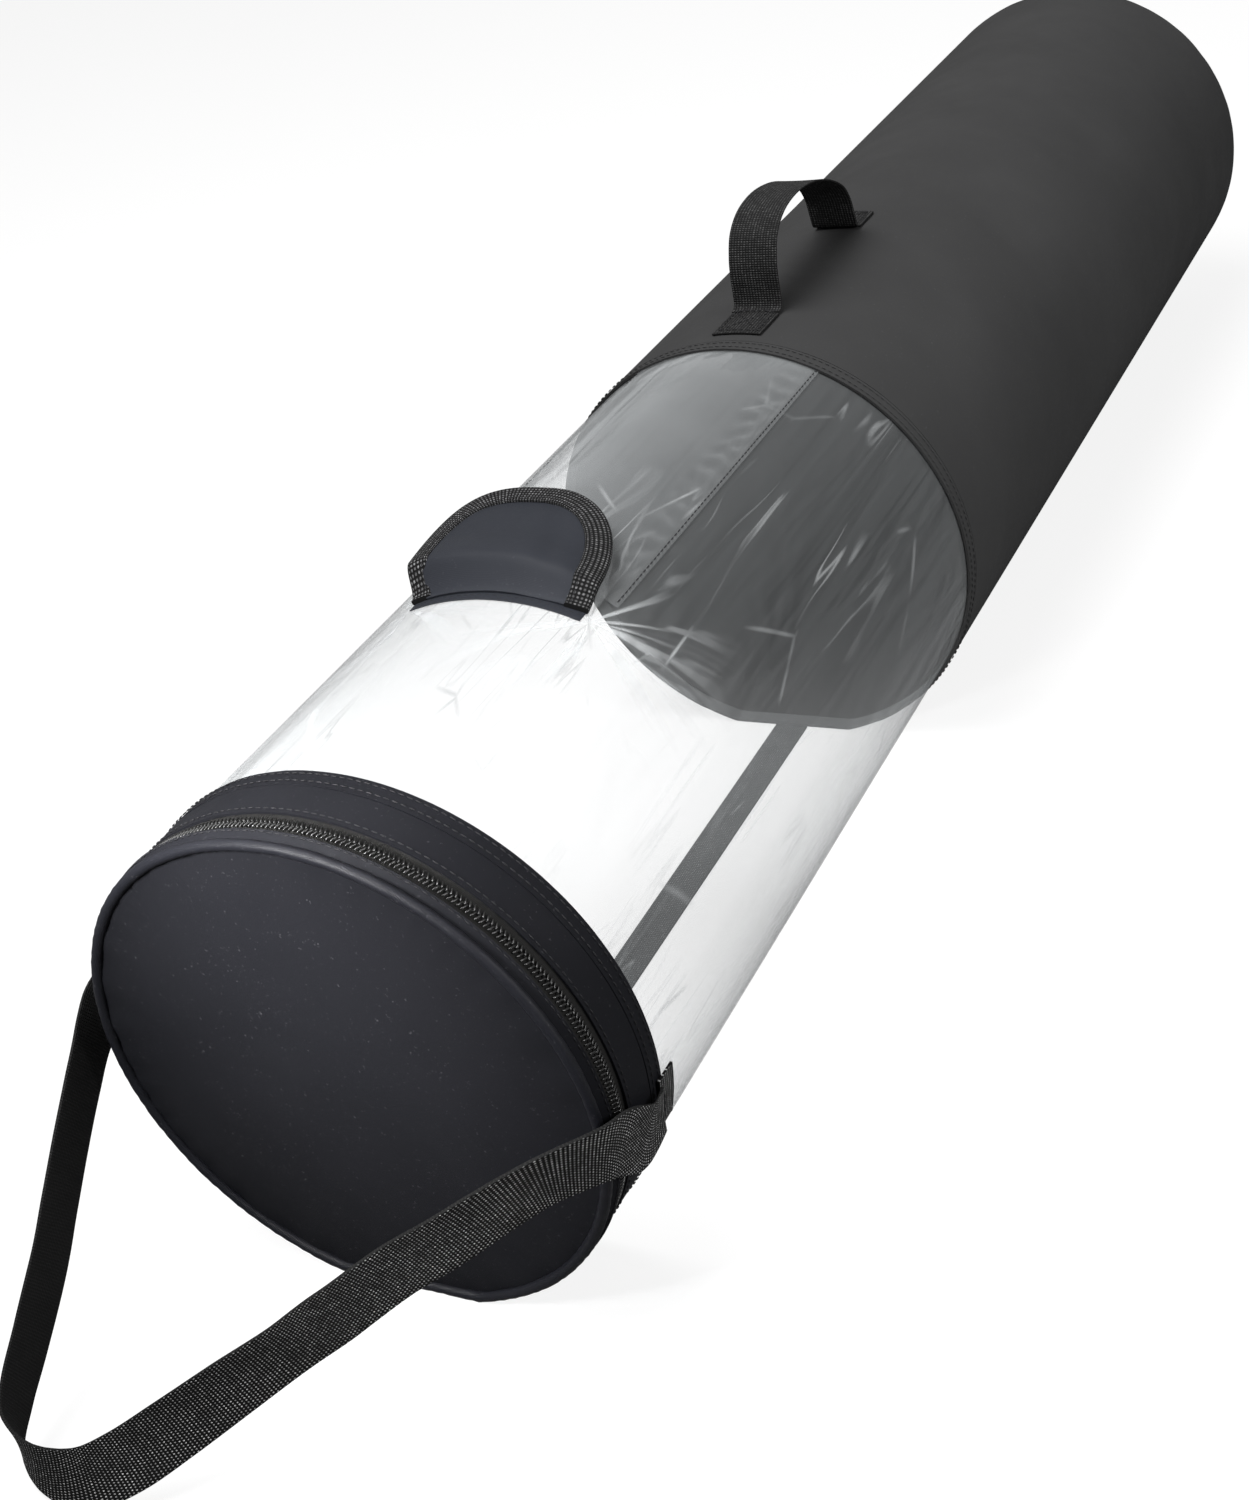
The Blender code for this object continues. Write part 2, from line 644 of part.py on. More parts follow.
def build_handle():
    """The grab handle: a webbing loop and the two ends that are sewn flat on the body."""
    half = webbing_width / 2 / bag_radius
    tab_angles = [top_angle + half * (2 * column / 4 - 1) for column in range(5)]
    tab_inset = -seat_gap - webbing_wall
    front = wall(tab_front_y, loop_front_y, tab_inset, webbing_wall)
    mesh = sweep("handle_tab_front", front, tab_angles, closed_round=False)
    finish_object("handle_tab_front", mesh, bag, webbing_black, 0.9)
    rear = wall(loop_rear_y, tab_rear_end_y, tab_inset, webbing_wall)
    mesh = sweep("handle_tab_rear", rear, tab_angles, closed_round=False)
    finish_object("handle_tab_rear", mesh, bag, webbing_black, 0.9)

    surface = bag_radius
    front_y = loop_front_y + seat_gap + webbing_wall / 2
    rear_y = loop_rear_y - seat_gap - webbing_wall / 2
    arch_shares = [
        (0.0, 0.0), (0.0, 0.1), (0.005, 0.34), (0.025, 0.57), (0.08, 0.8), (0.2, 0.955), (0.38, 1.0),
        (0.58, 0.935), (0.76, 0.79), (0.9, 0.6), (0.97, 0.38), (0.995, 0.14), (1.0, 0.0),
    ]
    arch = []
    for along, up in arch_shares:
        y = front_y + (rear_y - front_y) * along
        arch.append(Vector((0, y, surface + loop_root_rise + (loop_height - loop_root_rise) * up)))
    centres = smooth_route(arch, 2)
    widths = []
    for centre in centres:
        rise = centre.z - surface - loop_root_rise
        widths.append(Vector((min(webbing_width / 2, loop_root_half_width + loop_root_slope * rise), 0, 0)))
    mesh = ribbon("handle_loop", centres, widths, webbing_wall)
    finish_object("handle_loop", mesh, handle_pivot, webbing_black, 0.9)


def build_strap():
    """The carry strap: its free webbing on edge, and its two ends sewn on the sides of the collar."""
    half = strap_width / 2 / bag_radius
    end_inset = -hem_raise - seat_gap - strap_wall
    for name, side, rise in (("strap_end_right", 1, strap_right_rise), ("strap_end_left", -1, strap_left_rise)):
        middle = side * (pi / 2 + asin(rise / bag_radius))
        angles = [middle + half * (2 * column / 4 - 1) for column in range(5)]
        end = wall(anchor_front_y + seat_gap, anchor_front_y + anchor_length, end_inset, strap_wall)
        finish_object(name, sweep(name, end, angles, closed_round=False), bag, webbing_black, 0.9)

    route = smooth_route([Vector(point) for point in strap_route], route_steps)
    leans = smooth_route([Vector((radians(lean), 0, 0)) for lean in strap_leans], route_steps)
    widths = []
    for index in range(len(route)):
        before = route[max(index - 1, 0)]
        after = route[min(index + 1, len(route) - 1)]
        along = (after - before).normalized()
        upright = (Vector((0, 0, 1)) - along * along.z).normalized()
        inside = along.cross(upright)
        widths.append((upright * cos(leans[index].x) + inside * sin(leans[index].x)) * (strap_width / 2))
    mesh = ribbon("carry_strap", route, widths, strap_wall)
    finish_object("carry_strap", mesh, strap_pivot, webbing_black, 0.9)
    length = sum((after - here).length for here, after in zip(route, route[1:]))
    print("carry strap, free length in metres:", round(length, 4))


def slider_point(along, across, height):
    """A point given along the zip, across it and outwards from the parked slider's place on the skin."""
    return slider_place + slider_along * along + Vector((0, across, 0)) + slider_out * height


def prism(bm, outline, low, high):
    """A flat plate on the slider: the outline's (along, across) points between two heights."""
    loops = []
    for height in (low, high):
        loops.append([bm.verts.new(slider_point(a, c, height)) for a, c in outline])
    bm.faces.new(loops[0])
    bm.faces.new(loops[1])
    for index in range(len(outline)):
        other = (index + 1) % len(outline)
        bm.faces.new((loops[0][index], loops[0][other], loops[1][other], loops[1][index]))


def build_slider():
    """The zip slider, which rides on the chain, with the bridge that its pull hangs in."""
    nose = slider_half_width * slider_nose_share
    shoulder = slider_half_length * slider_nose_share
    bm = bmesh.new()
    outline = [
        (-slider_half_length, -nose), (-shoulder, -slider_half_width), (shoulder, -slider_half_width),
        (slider_half_length, -nose), (slider_half_length, nose), (shoulder, slider_half_width),
        (-shoulder, slider_half_width), (-slider_half_length, nose),
    ]
    prism(bm, outline, slider_rise, sole_height)
    plate = finish_object("zip_slider", mesh_from(bm, "zip_slider"), slider_pivot, coil_black, 0.3)
    pieces = []
    for side in (-1, 1):
        bm = bmesh.new()
        inner = side * (slider_half_width - flange_wall)
        outer = side * (slider_half_width - seat_gap / 2)
        flange = [(-shoulder, inner), (shoulder, inner), (shoulder, outer), (-shoulder, outer)]
        prism(bm, flange, slider_rise - flange_drop, sole_height - slider_wall / 2)
        pieces.append(("flange", bm))
    bm = bmesh.new()
    side_prism(bm, bridge_outline(), bridge_half_width)
    pieces.append(("bridge", bm))
    for label, bm in pieces:
        join_to(plate, mesh_from(bm, label))

    bm = bmesh.new()
    low = sole_height + pull_rise
    prism(bm, pull_outline(), low, low + pull_wall)
    mesh = mesh_from(bm, "zip_pull")
    pull = finish_object("zip_pull", mesh, pull_pivot, coil_black, 0.3)
    bm = bmesh.new()
    eye = [
        (pull_bar_half, -pull_eye_half_width), (pull_eye_end, -pull_eye_half_width),
        (pull_eye_end, pull_eye_half_width), (pull_bar_half, pull_eye_half_width),
    ]
    prism(bm, eye, low - pull_wall, low + 2 * pull_wall)
    cut_with(pull, mesh_from(bm, "pull_eye_cutter"))


def bridge_outline():
    """The bridge seen from the side: two feet on the slider and a bar over the pull's eye."""
    foot = bridge_half_width
    low = sole_height - slider_wall / 2
    top = sole_height + bridge_rise
    under = top - bridge_half_width
    half = bridge_half_length
    return [
        (-half, low), (-half, top), (half, top), (half, low), (half - foot, low), (half - foot, under),
        (foot - half, under), (foot - half, low),
    ]


def side_prism(bm, outline, half_width):
    """A solid whose outline stands along the zip, and which is as wide as given across it."""
    loops = []
    for side in (-1, 1):
        loops.append([bm.verts.new(slider_point(a, side * half_width, h)) for a, h in outline])
    bm.faces.new(loops[0])
    bm.faces.new(loops[1])
    for index in range(len(outline)):
        other = (index + 1) % len(outline)
        bm.faces.new((loops[0][index], loops[0][other], loops[1][other], loops[1][index]))


def pull_outline():
    """The pull lying flat: its end bar under the bridge, two rails beside the eye and a wider tongue."""
    rail = pull_eye_half_width + pull_rail_width
    neck = pull_eye_end + pull_rail_width
    end = pull_length - pull_bar_half
    return [
        (-pull_bar_half, -rail), (pull_eye_end, -rail), (neck, -pull_half_width), (end - pull_wall, -pull_half_width),
        (end, pull_wall - pull_half_width), (end, pull_half_width - pull_wall), (end - pull_wall, pull_half_width),
        (neck, pull_half_width), (pull_eye_end, rail), (-pull_bar_half, rail),
    ]


def cut_with(target, mesh):
    """Cut the mesh, drawn in the bag frame, out of the target."""
    cutter = bpy.data.objects.new(mesh.name, mesh)
    cutter.parent = slider_pivot
    cutter.hide_render = True
    cutter.display_type = "WIRE"
    cutters.objects.link(cutter)
    boolean = target.modifiers.new(mesh.name, "BOOLEAN")
    boolean.operation = "DIFFERENCE"
    boolean.object = cutter


def join_to(target, mesh):
    """Join the mesh, drawn in the bag frame, to the target."""
    piece = bpy.data.objects.new(mesh.name + "_shape", mesh)
    piece.parent = slider_pivot
    piece.hide_render = True
    piece.display_type = "WIRE"
    cutters.objects.link(piece)
    boolean = target.modifiers.new(mesh.name, "BOOLEAN")
    boolean.operation = "UNION"
    boolean.object = piece


build_lid()
build_zip()
build_bag_tube()
build_pocket()
build_flap()
build_handle()
build_strap()
build_slider()
bpy.context.view_layer.update()
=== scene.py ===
# %% [markdown]
# # A long round bag for rolls of wrapping paper
#
# The bag lies on its side: a soft tube with a zipped lid at the near end, a clear window with a pocket on
# top, a charcoal body, a grab handle, and a carry strap that rests on the floor in front of the lid.
# The imported CAD model is the frame. Each soft piece is made again here, over its solid, as cloth, film or
# webbing. First the frame is loaded.

import bmesh
import bpy
import numpy as np
from math import ceil, cos, hypot, pi, radians, sin
from mathutils import Matrix, Vector, noise


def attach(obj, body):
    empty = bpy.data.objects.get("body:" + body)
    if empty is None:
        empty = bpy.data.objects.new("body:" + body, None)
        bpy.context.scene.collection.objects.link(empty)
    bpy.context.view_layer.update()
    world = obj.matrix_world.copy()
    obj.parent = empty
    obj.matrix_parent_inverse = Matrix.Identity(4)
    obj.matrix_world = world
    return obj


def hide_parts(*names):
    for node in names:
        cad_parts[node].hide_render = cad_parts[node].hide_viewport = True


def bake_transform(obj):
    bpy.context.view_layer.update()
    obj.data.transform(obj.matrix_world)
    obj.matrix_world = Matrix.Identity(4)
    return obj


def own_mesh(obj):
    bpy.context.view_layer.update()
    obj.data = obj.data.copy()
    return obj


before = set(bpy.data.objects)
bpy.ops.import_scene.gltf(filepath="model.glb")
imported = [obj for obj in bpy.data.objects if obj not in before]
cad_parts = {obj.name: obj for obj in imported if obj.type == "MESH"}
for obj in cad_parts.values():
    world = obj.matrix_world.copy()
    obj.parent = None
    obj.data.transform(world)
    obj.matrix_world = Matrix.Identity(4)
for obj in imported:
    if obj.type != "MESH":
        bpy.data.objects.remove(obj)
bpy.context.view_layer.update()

# %% [markdown]
# ## The camera
#
# The camera stands where the photograph was taken from: in front of the lid, to its right and above. The
# three axes below were worked out from the lid's ellipse and the long sides of the body, and the lens from
# how fast the body narrows away from us. The picture is 1249 pixels wide and 1500 high.

# %% Make the camera
camera_data = bpy.data.cameras.new("photo_camera")
camera_data.sensor_width = 36.0
camera_data.lens = 51.006
camera = bpy.data.objects.new("photo_camera", camera_data)
bpy.context.scene.collection.objects.link(camera)
camera_right = Vector((0.88407, 0.42441, -0.19569))
camera_up = Vector((-0.07928, 0.54883, 0.83217))
camera_back = Vector((0.46058, -0.72018, 0.51885))
turned = Matrix((camera_right, camera_up, camera_back)).transposed().to_4x4()
camera.matrix_world = Matrix.Translation((0.46172, -0.98999, 0.61885)) @ turned
bpy.context.scene.camera = camera
bpy.context.scene.view_settings.view_transform = "Standard"
print("camera at", tuple(round(value, 3) for value in camera.location))

# %% [markdown]
# ## The carry strap's route
#
# The strap is a limp length of webbing that is sewn to both sides of the collar. It leaves the right side
# straight ahead, droops to the floor, bends there on its edge and climbs back to the left side. These are
# the points that its middle line follows, in metres from the tube's axis at the front of the lid.

# %% The strap's route
strap_route = [
    (0.1161, 0.0412, -0.0234), (0.1166, 0.0330, -0.0240), (0.1174, 0.0250, -0.0222),
    (0.1184, 0.0165, -0.0160), (0.1188, 0.0070, -0.0085), (0.1166, -0.0062, -0.0033),
    (0.1043, -0.0248, -0.0006), (0.0891, -0.0384, -0.0057), (0.0720, -0.0489, -0.0152),
    (0.0522, -0.0571, -0.0270), (0.0319, -0.0663, -0.0415), (0.0110, -0.0753, -0.0566),
    (-0.0114, -0.0911, -0.0695), (-0.0325, -0.1072, -0.0815), (-0.0505, -0.1202, -0.0912),
    (-0.0655, -0.1285, -0.0962), (-0.0810, -0.1315, -0.0958), (-0.0945, -0.1290, -0.0930),
    (-0.1050, -0.1215, -0.0890), (-0.1105, -0.1090, -0.0835), (-0.1148, -0.0900, -0.0743),
    (-0.1190, -0.0650, -0.0590), (-0.1225, -0.0470, -0.0460), (-0.1269, -0.0255, -0.0310),
    (-0.1312, -0.0040, -0.0170), (-0.1338, 0.0130, -0.0060), (-0.1320, 0.0250, 0.0020),
    (-0.1245, 0.0340, 0.0068), (-0.1190, 0.0412, 0.0080),
]
# how far the upper edge leans towards the inside of the loop, in degrees, at the same points
strap_leans = [
    -11.5, -11.5, -11, -9, -7, -7, -7, -7, -7, -7, -6, -3, 8, 18, 25, 20, 10, 3, 0, 0, 0, 0, 0, 0, 0, 0, 0,
    3, 4,
]
half_length = 0.521
axis_height = 0.110
strap_steps = 168
curve_steps = 12


def bag_point(x, y, z):
    """A point given from the tube's axis at the front of the lid, in the frame's own place."""
    return Vector((x, y - half_length, z + axis_height))


def from_axis(co):
    """The same three numbers again, from a point in the frame's place."""
    return co.x, co.y + half_length, co.z - axis_height


def smooth_route(points, steps):
    """A smooth curve that runs through every point of the route."""
    ends = [2 * points[0] - points[1], *points, 2 * points[-1] - points[-2]]
    route = []
    for first, start, end, last in zip(ends, ends[1:], ends[2:], ends[3:]):
        for step in range(steps):
            t = step / steps
            bend = (2 * first - 5 * start + 4 * end - last) * (t * t / 2)
            twist = (3 * start - first - 3 * end + last) * (t * t * t / 2)
            route.append(start + (end - first) * (t / 2) + bend + twist)
    return route + [points[-1]]


def line_length(line):
    """The length of a line of points."""
    return sum((after - here).length for here, after in zip(line, line[1:]))


def even_out(line, steps, values=None):
    """Points at even steps along a line, or the values that belong to such points."""
    travelled = [0.0]
    for here, after in zip(line, line[1:]):
        travelled.append(travelled[-1] + (after - here).length)
    wanted = np.linspace(0.0, travelled[-1], steps + 1)
    axes = [np.interp(wanted, travelled, [point[axis] for point in values or line]) for axis in range(3)]
    return [Vector(point) for point in zip(*axes)]


strap_curve = smooth_route([bag_point(*point) for point in strap_route], curve_steps)
strap_turns = smooth_route([Vector((radians(lean), 0, 0)) for lean in strap_leans], curve_steps)
strap_line = even_out(strap_curve, strap_steps)
strap_tilts = even_out(strap_curve, strap_steps, strap_turns)
strap_length = line_length(strap_line)
print("strap points:", len(strap_line), "free length:", round(strap_length, 4))

# %% [markdown]
# ## The bag's round
#
# Every band of the bag follows the same section: a round of 115 mm radius that is pressed flat where it
# rests on the floor. So one small function gives a point of that section from its angle (measured from
# straight down), its distance along the bag, and its depth under the outermost fabric.

# %% The section, and small helpers
bag_radius = 0.115
round_length = 2 * pi * bag_radius


def skin(angle, y, depth):
    """A point of the bag's round at a depth under its outermost fabric."""
    reach = bag_radius - depth
    if cos(angle) > 0:
        reach = min(reach, (axis_height - depth) / cos(angle))
    return bag_point(reach * sin(angle), y, -reach * cos(angle))


def outwards(angle):
    """The direction away from the axis."""
    return Vector((sin(angle), 0, -cos(angle)))


def round_angle(x, z):
    """The angle of a place round the axis."""
    return float(np.arctan2(x, -z))


def ripple(x, y, z, size):
    """Soft uneven waves of about that size, from -1 to 1, the same on every run."""
    return noise.noise(Vector((x, y, z)) / size)


def round_ripple(angle, y, size, fine=1.0):
    """The same waves on the bag's round, so that they close."""
    return ripple(sin(angle) * bag_radius * fine, y, cos(angle) * bag_radius * fine, size)


def bell(offset, width):
    """1 at no offset, falling softly to 0."""
    return float(np.exp(-(offset / width) ** 2))


def ease(share):
    """A smooth step from 0 to 1."""
    return (1 - cos(pi * min(1.0, max(0.0, share)))) / 2


print("section height at the floor:", round(skin(0, 0, 0).z, 5), "top:", round(skin(pi, 0, 0).z, 5))

# %% [markdown]
# ## Working on one piece
#
# Operators act on what is selected, so each helper first takes hold of its piece. An added shape gets its
# name, and its place goes into its mesh. In edit mode, edges or faces are picked by a test.

# %% Helpers for one piece


def deselect():
    """Leave edit mode and let go of everything, so that the next operator acts on one piece."""
    if bpy.context.object and bpy.context.object.mode != "OBJECT":
        bpy.ops.object.mode_set(mode="OBJECT")
    bpy.ops.object.select_all(action="DESELECT")


def hold(obj):
    """Make one piece the selected and active one."""
    deselect()
    obj.select_set(True)
    bpy.context.view_layer.objects.active = obj


def added(name, scale=(1, 1, 1)):
    """The shape that was just added, with its name, and with its place put into its mesh."""
    obj = bpy.context.object
    obj.name = name
    obj.scale = scale
    hold(obj)
    bpy.ops.object.transform_apply(location=True, rotation=True, scale=True)
    return obj


def edit(obj):
    """Open a piece in edit mode with all of it selected."""
    hold(obj)
    bpy.ops.object.mode_set(mode="EDIT")
    bpy.ops.mesh.select_all(action="SELECT")


def pick(obj, test, faces=False):
    """In edit mode, select only the edges that pass a test, or the faces."""
    bm = bmesh.from_edit_mesh(obj.data)
    for item in bm.faces if faces else bm.edges:
        item.select_set(bool(test(item)))
    bmesh.update_edit_mesh(obj.data)


def fill_holes(obj):
    """Close every open edge with a face."""
    edit(obj)
    pick(obj, lambda edge: edge.is_boundary)
    bpy.ops.mesh.fill()
    deselect()


def clear_doubles(obj):
    """Merge points that lie on each other and turn all faces outwards."""
    edit(obj)
    bpy.ops.mesh.remove_doubles(threshold=1e-6)
    bpy.ops.mesh.normals_make_consistent(inside=False)
    deselect()


def part_round(obj, half_angle, keep_low):
    """Cut the round on both sides of straight down, then take off its low part, or all but that."""
    edit(obj)
    for side in (-1, 1):
        bpy.ops.mesh.select_all(action="SELECT")
        normal = (cos(side * half_angle), 0, sin(side * half_angle))
        bpy.ops.mesh.bisect(plane_co=bag_point(0, 0, 0), plane_no=normal, threshold=1e-6)

    def goes(face):
        x, y, z = from_axis(face.calc_center_median())
        return (abs(round_angle(x, z)) < half_angle) != keep_low

    pick(obj, goes, faces=True)
    bpy.ops.mesh.delete(type="FACE")
    deselect()


def move_points(obj, rule):
    """Move every point of a mesh that sits at the origin to where the rule says."""
    for vertex in obj.data.vertices:
        vertex.co = rule(vertex.co.copy())
    obj.data.update()


def turn_faces(obj, way):
    """Turn an open surface over if its faces look against the way that each place asks for."""
    if sum(polygon.normal.dot(way(polygon.center)) for polygon in obj.data.polygons) < 0:
        obj.data.flip_normals()


def scale_map(obj, wide, long):
    """Scale the piece's map to metres."""
    layer = obj.data.uv_layers.active.data
    values = np.zeros(len(layer) * 2)
    layer.foreach_get("uv", values)
    values = values.reshape(-1, 2) * (wide, long)
    layer.foreach_set("uv", values.ravel())


def give_wall(obj, thickness, offset=-1.0, inner_finish=0):
    """Give an open surface its thickness, inwards unless told otherwise."""
    hold(obj)
    solid = obj.modifiers.new("wall", "SOLIDIFY")
    solid.thickness = thickness
    solid.offset = offset
    solid.use_even_offset = True
    solid.thickness_clamp = 1.5
    solid.material_offset = inner_finish
    solid.material_offset_rim = inner_finish
    bpy.ops.object.modifier_apply(modifier=solid.name)


def soften_edges(obj, width, limit):
    """A small bevel on the edges that are sharper than a limit in degrees."""
    hold(obj)
    bevel = obj.modifiers.new("soft edge", "BEVEL")
    bevel.width = width
    bevel.segments = 2
    bevel.limit_method = "ANGLE"
    bevel.angle_limit = radians(limit)
    bpy.ops.object.modifier_apply(modifier=bevel.name)


def smooth(obj, angle=60):
    """Shade the piece smooth, except over its sharp edges."""
    hold(obj)
    bpy.ops.object.shade_smooth_by_angle(angle=radians(angle))


def finish_piece(obj, material, body, slot, *nodes):
    """Dress the piece, tie it to its body if it keeps to one, and let it stand for its solids."""
    if obj.data.materials:
        obj.data.materials[0] = material
    else:
        obj.data.materials.append(material)
    if body:
        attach(obj, body)
    if nodes:
        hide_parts(*nodes)
    print(obj.name, "triangles:", sum(len(polygon.vertices) - 2 for polygon in obj.data.polygons))
    return obj


print("helpers for one piece are ready")

# %% [markdown]
# ## Tubes, rounds, rolls and sheets
#
# The bands are open cylinders. A cylinder is added at its size, and the points of its two rims are moved onto
# the bag's section. Between its rims the cloth runs straight, and its finer creases are in its material. It
# comes with a map that runs once round and once along. That is scaled to metres, so that weaves and threads
# keep their real size. The wall is a Solidify modifier, which is applied. Both end panels are filled circles
# that are inset again and again, and a rolled edge is a torus.

# %% Helpers for whole shapes


def make_tube(name, run, around, rule, wall, open_below=None, grow=-1):
    """A tube of cloth with its wall. The rule gives a rim's points from their angle and distance along the bag.

    With open_below, the part of the round that is closer than that to straight down is taken off. The wall
    goes inwards, or outwards where grow is 1.
    """
    length = run[1] - run[0]
    deselect()
    bpy.ops.mesh.primitive_cylinder_add(
        vertices=around, radius=bag_radius, depth=length, end_fill_type="NOTHING",
        location=bag_point(0, sum(run) / 2, 0), rotation=(pi / 2, 0, 0), calc_uvs=True)
    obj = added(name)
    scale_map(obj, round_length, length)
    if open_below is not None:
        part_round(obj, open_below, keep_low=False)

    def place(co):
        x, y, z = from_axis(co)
        return rule(round_angle(x, z), y)

    move_points(obj, place)
    turn_faces(obj, lambda co: Vector((co.x, 0, co.z - axis_height)) * -grow)
    give_wall(obj, wall)
    smooth(obj)
    return obj


def make_round(name, corners, radius, insets, rise, rule, way):
    """An end panel of cloth. The rule gives how far along the bag it lies at each place across it."""
    deselect()
    bpy.ops.mesh.primitive_circle_add(
        vertices=corners, radius=radius, fill_type="NGON", location=bag_point(0, 0, 0), rotation=(pi / 2, 0, 0))
    obj = added(name)
    edit(obj)
    for thickness in insets:
        bpy.ops.mesh.inset(thickness=thickness)
    bpy.ops.mesh.poke()
    deselect()

    def place(co):
        x, z = co.x, max(co.z, rise) - axis_height
        return bag_point(x, rule(x, z), z)

    move_points(obj, place)
    cut = obj.data.uv_layers.active
    for loop in obj.data.loops:
        co = obj.data.vertices[loop.vertex_index].co
        cut.data[loop.index].uv = (co.x, co.z)
    clear_doubles(obj)
    turn_faces(obj, lambda co: Vector((0, way, 0)))
    give_wall(obj, 0.0012)
    smooth(obj)
    return obj


def make_roll(name, y, sunk, thickness, around, sides, map_long, rule):
    """A rolled edge round the bag, whose middle is sunk a little under the skin."""
    deselect()
    bpy.ops.mesh.primitive_torus_add(
        major_radius=bag_radius - sunk, minor_radius=thickness, major_segments=around, minor_segments=sides,
        location=bag_point(0, y, 0), rotation=(pi / 2, 0, 0), generate_uvs=True)
    obj = added(name)
    scale_map(obj, round_length, map_long)
    move_points(obj, lambda co: rule(*from_axis(co)))
    smooth(obj, 80)
    return obj


def make_sheet(name, across, along, wide, long, rule):
    """A flat sheet cut to its real size, whose points are then laid by a rule of its own two shares."""
    deselect()
    bpy.ops.mesh.primitive_grid_add(x_subdivisions=across, y_subdivisions=along, size=1, calc_uvs=True)
    obj = added(name)
    scale_map(obj, wide, long)
    move_points(obj, lambda co: rule(co.x + 0.5, co.y + 0.5))
    return obj


print("helpers for whole shapes are ready")

# %% [markdown]
# ## Effects that several finishes share
#
# Cloth, webbing and film are told apart by their threads and creases. Each effect is a node group with
# named inputs, built once: a woven ground, soft creases, crumpled and pulled film, and webbing with light
# specks. A group gives heights and masks only, and the shader stays in each material.

# %% Helpers for node trees


def feed(tree, node, sources):
    """Link sockets to a node's inputs, or set plain values on them."""
    for label, source in sources.items():
        if isinstance(source, bpy.types.NodeSocket):
            tree.links.new(source, node.inputs[label])
        else:
            node.inputs[label].default_value = source


def add_node(tree, kind, sources, **settings):
    """The outputs of a new shader node, with its settings and what feeds it."""
    node = tree.nodes.new("ShaderNode" + kind)
    for label, setting in settings.items():
        setattr(node, label, setting)
    feed(tree, node, sources)
    return node.outputs


def calc(tree, operation, first, second=0.0, clamp=False):
    """A sum of two values, or another of the Math node's operations."""
    return add_node(tree, "Math", {0: first, 1: second}, operation=operation, use_clamp=clamp)[0]


def times(tree, first, *factors):
    """The product of several values."""
    for factor in factors:
        first = calc(tree, "MULTIPLY", first, factor)
    return first


def noise_at(tree, place, scale, detail=2.0, roughness=0.5, distortion=0.0):
    """A noise pattern from 0 to 1."""
    sources = {"Vector": place, "Scale": scale, "Detail": detail, "Roughness": roughness, "Distortion": distortion}
    return add_node(tree, "TexNoise", sources)["Fac"]


def spread(tree, value, low, high, out_low=0.0, out_high=1.0):
    """Stretch a value's range, with both ends kept."""
    sources = {"Value": value, "From Min": low, "From Max": high, "To Min": out_low, "To Max": out_high}
    return add_node(tree, "MapRange", sources)["Result"]


def thin_line(tree, pattern, width):
    """1 along the lines where a noise pattern is at its middle value, falling to 0 beside them."""
    return spread(tree, calc(tree, "ABSOLUTE", calc(tree, "SUBTRACT", pattern, 0.5)), 0.0, width, 1.0, 0.0)


def blend_colours(tree, share, *colours):
    """A mix of two colours, each one a socket or red, green and blue."""
    first, second = [(*colour, 1) if isinstance(colour, tuple) else colour for colour in colours]
    return add_node(tree, "Mix", {"Factor": share, "A": first, "B": second}, data_type="RGBA")["Result"]


def add_group(tree, group, **values):
    """Place a node group with its own values."""
    return add_node(tree, "Group", values, node_tree=group)


def add_bump(tree, height, distance, strength=1.0, **under):
    """A Bump node, which can stand on another one's normals."""
    return add_node(tree, "Bump", {"Height": height, "Distance": distance, "Strength": strength, **under})["Normal"]


def make_group(name, build, **given):
    """A node group from its inputs with their usual values, and a function that gives its named outputs."""
    group = bpy.data.node_groups.new(name, "ShaderNodeTree")
    for label, value in given.items():
        kind = "NodeSocketVector" if value is None else "NodeSocketFloat"
        socket = group.interface.new_socket(name=label, in_out="INPUT", socket_type=kind)
        if value is not None:
            socket.default_value = value
    results = build(group, group.nodes.new("NodeGroupInput").outputs)
    for label in results:
        group.interface.new_socket(name=label, in_out="OUTPUT", socket_type="NodeSocketFloat")
    leave = group.nodes.new("NodeGroupOutput")
    feed(group, leave, results)
    print("effect:", name, "from", list(given), "gives", list(results))
    return group


print("node helpers are ready")

# %% The woven ground


def woven_threads(tree, given):
    """Threads that cross over and under each other, from a map in metres."""
    cut = add_node(tree, "SeparateXYZ", {0: given["Map"]})
    turns = calc(tree, "DIVIDE", pi, given["Thread"])
    long = times(tree, cut["Y"], turns)
    leaned = calc(tree, "ADD", times(tree, cut["X"], turns), times(tree, long, given["Slant"]))
    warp = calc(tree, "ABSOLUTE", calc(tree, "SINE", leaned))
    weft = calc(tree, "ABSOLUTE", calc(tree, "SINE", long))
    uneven = noise_at(tree, given["Map"], 900.0, 1.0)
    return {"Height": times(tree, warp, weft, spread(tree, uneven, 0.0, 1.0, 0.6, 1.2))}


weave_group = make_group("woven_threads", woven_threads, Map=None, Thread=0.0004, Slant=0.0)

# %% Soft creases


def soft_creases(tree, given):
    """Broad swells of soft cloth, fine ridges where it has been folded, and a little dust."""
    place = given["Place"]
    swell = noise_at(tree, place, given["Swell"], 2.0, 0.45, 0.3)
    ridges = thin_line(tree, noise_at(tree, place, given["Ridge"], 3.0, 0.5, 0.9), 0.055)
    some = spread(tree, noise_at(tree, place, 9.0, 1.0), 0.48, 0.68)
    ridge_height = 0.02
    dust = spread(tree, noise_at(tree, place, 650.0, 2.0, 0.6), 0.66, 0.78)
    return {"Height": calc(tree, "ADD", swell, times(tree, ridges, some, ridge_height)), "Dust": dust}


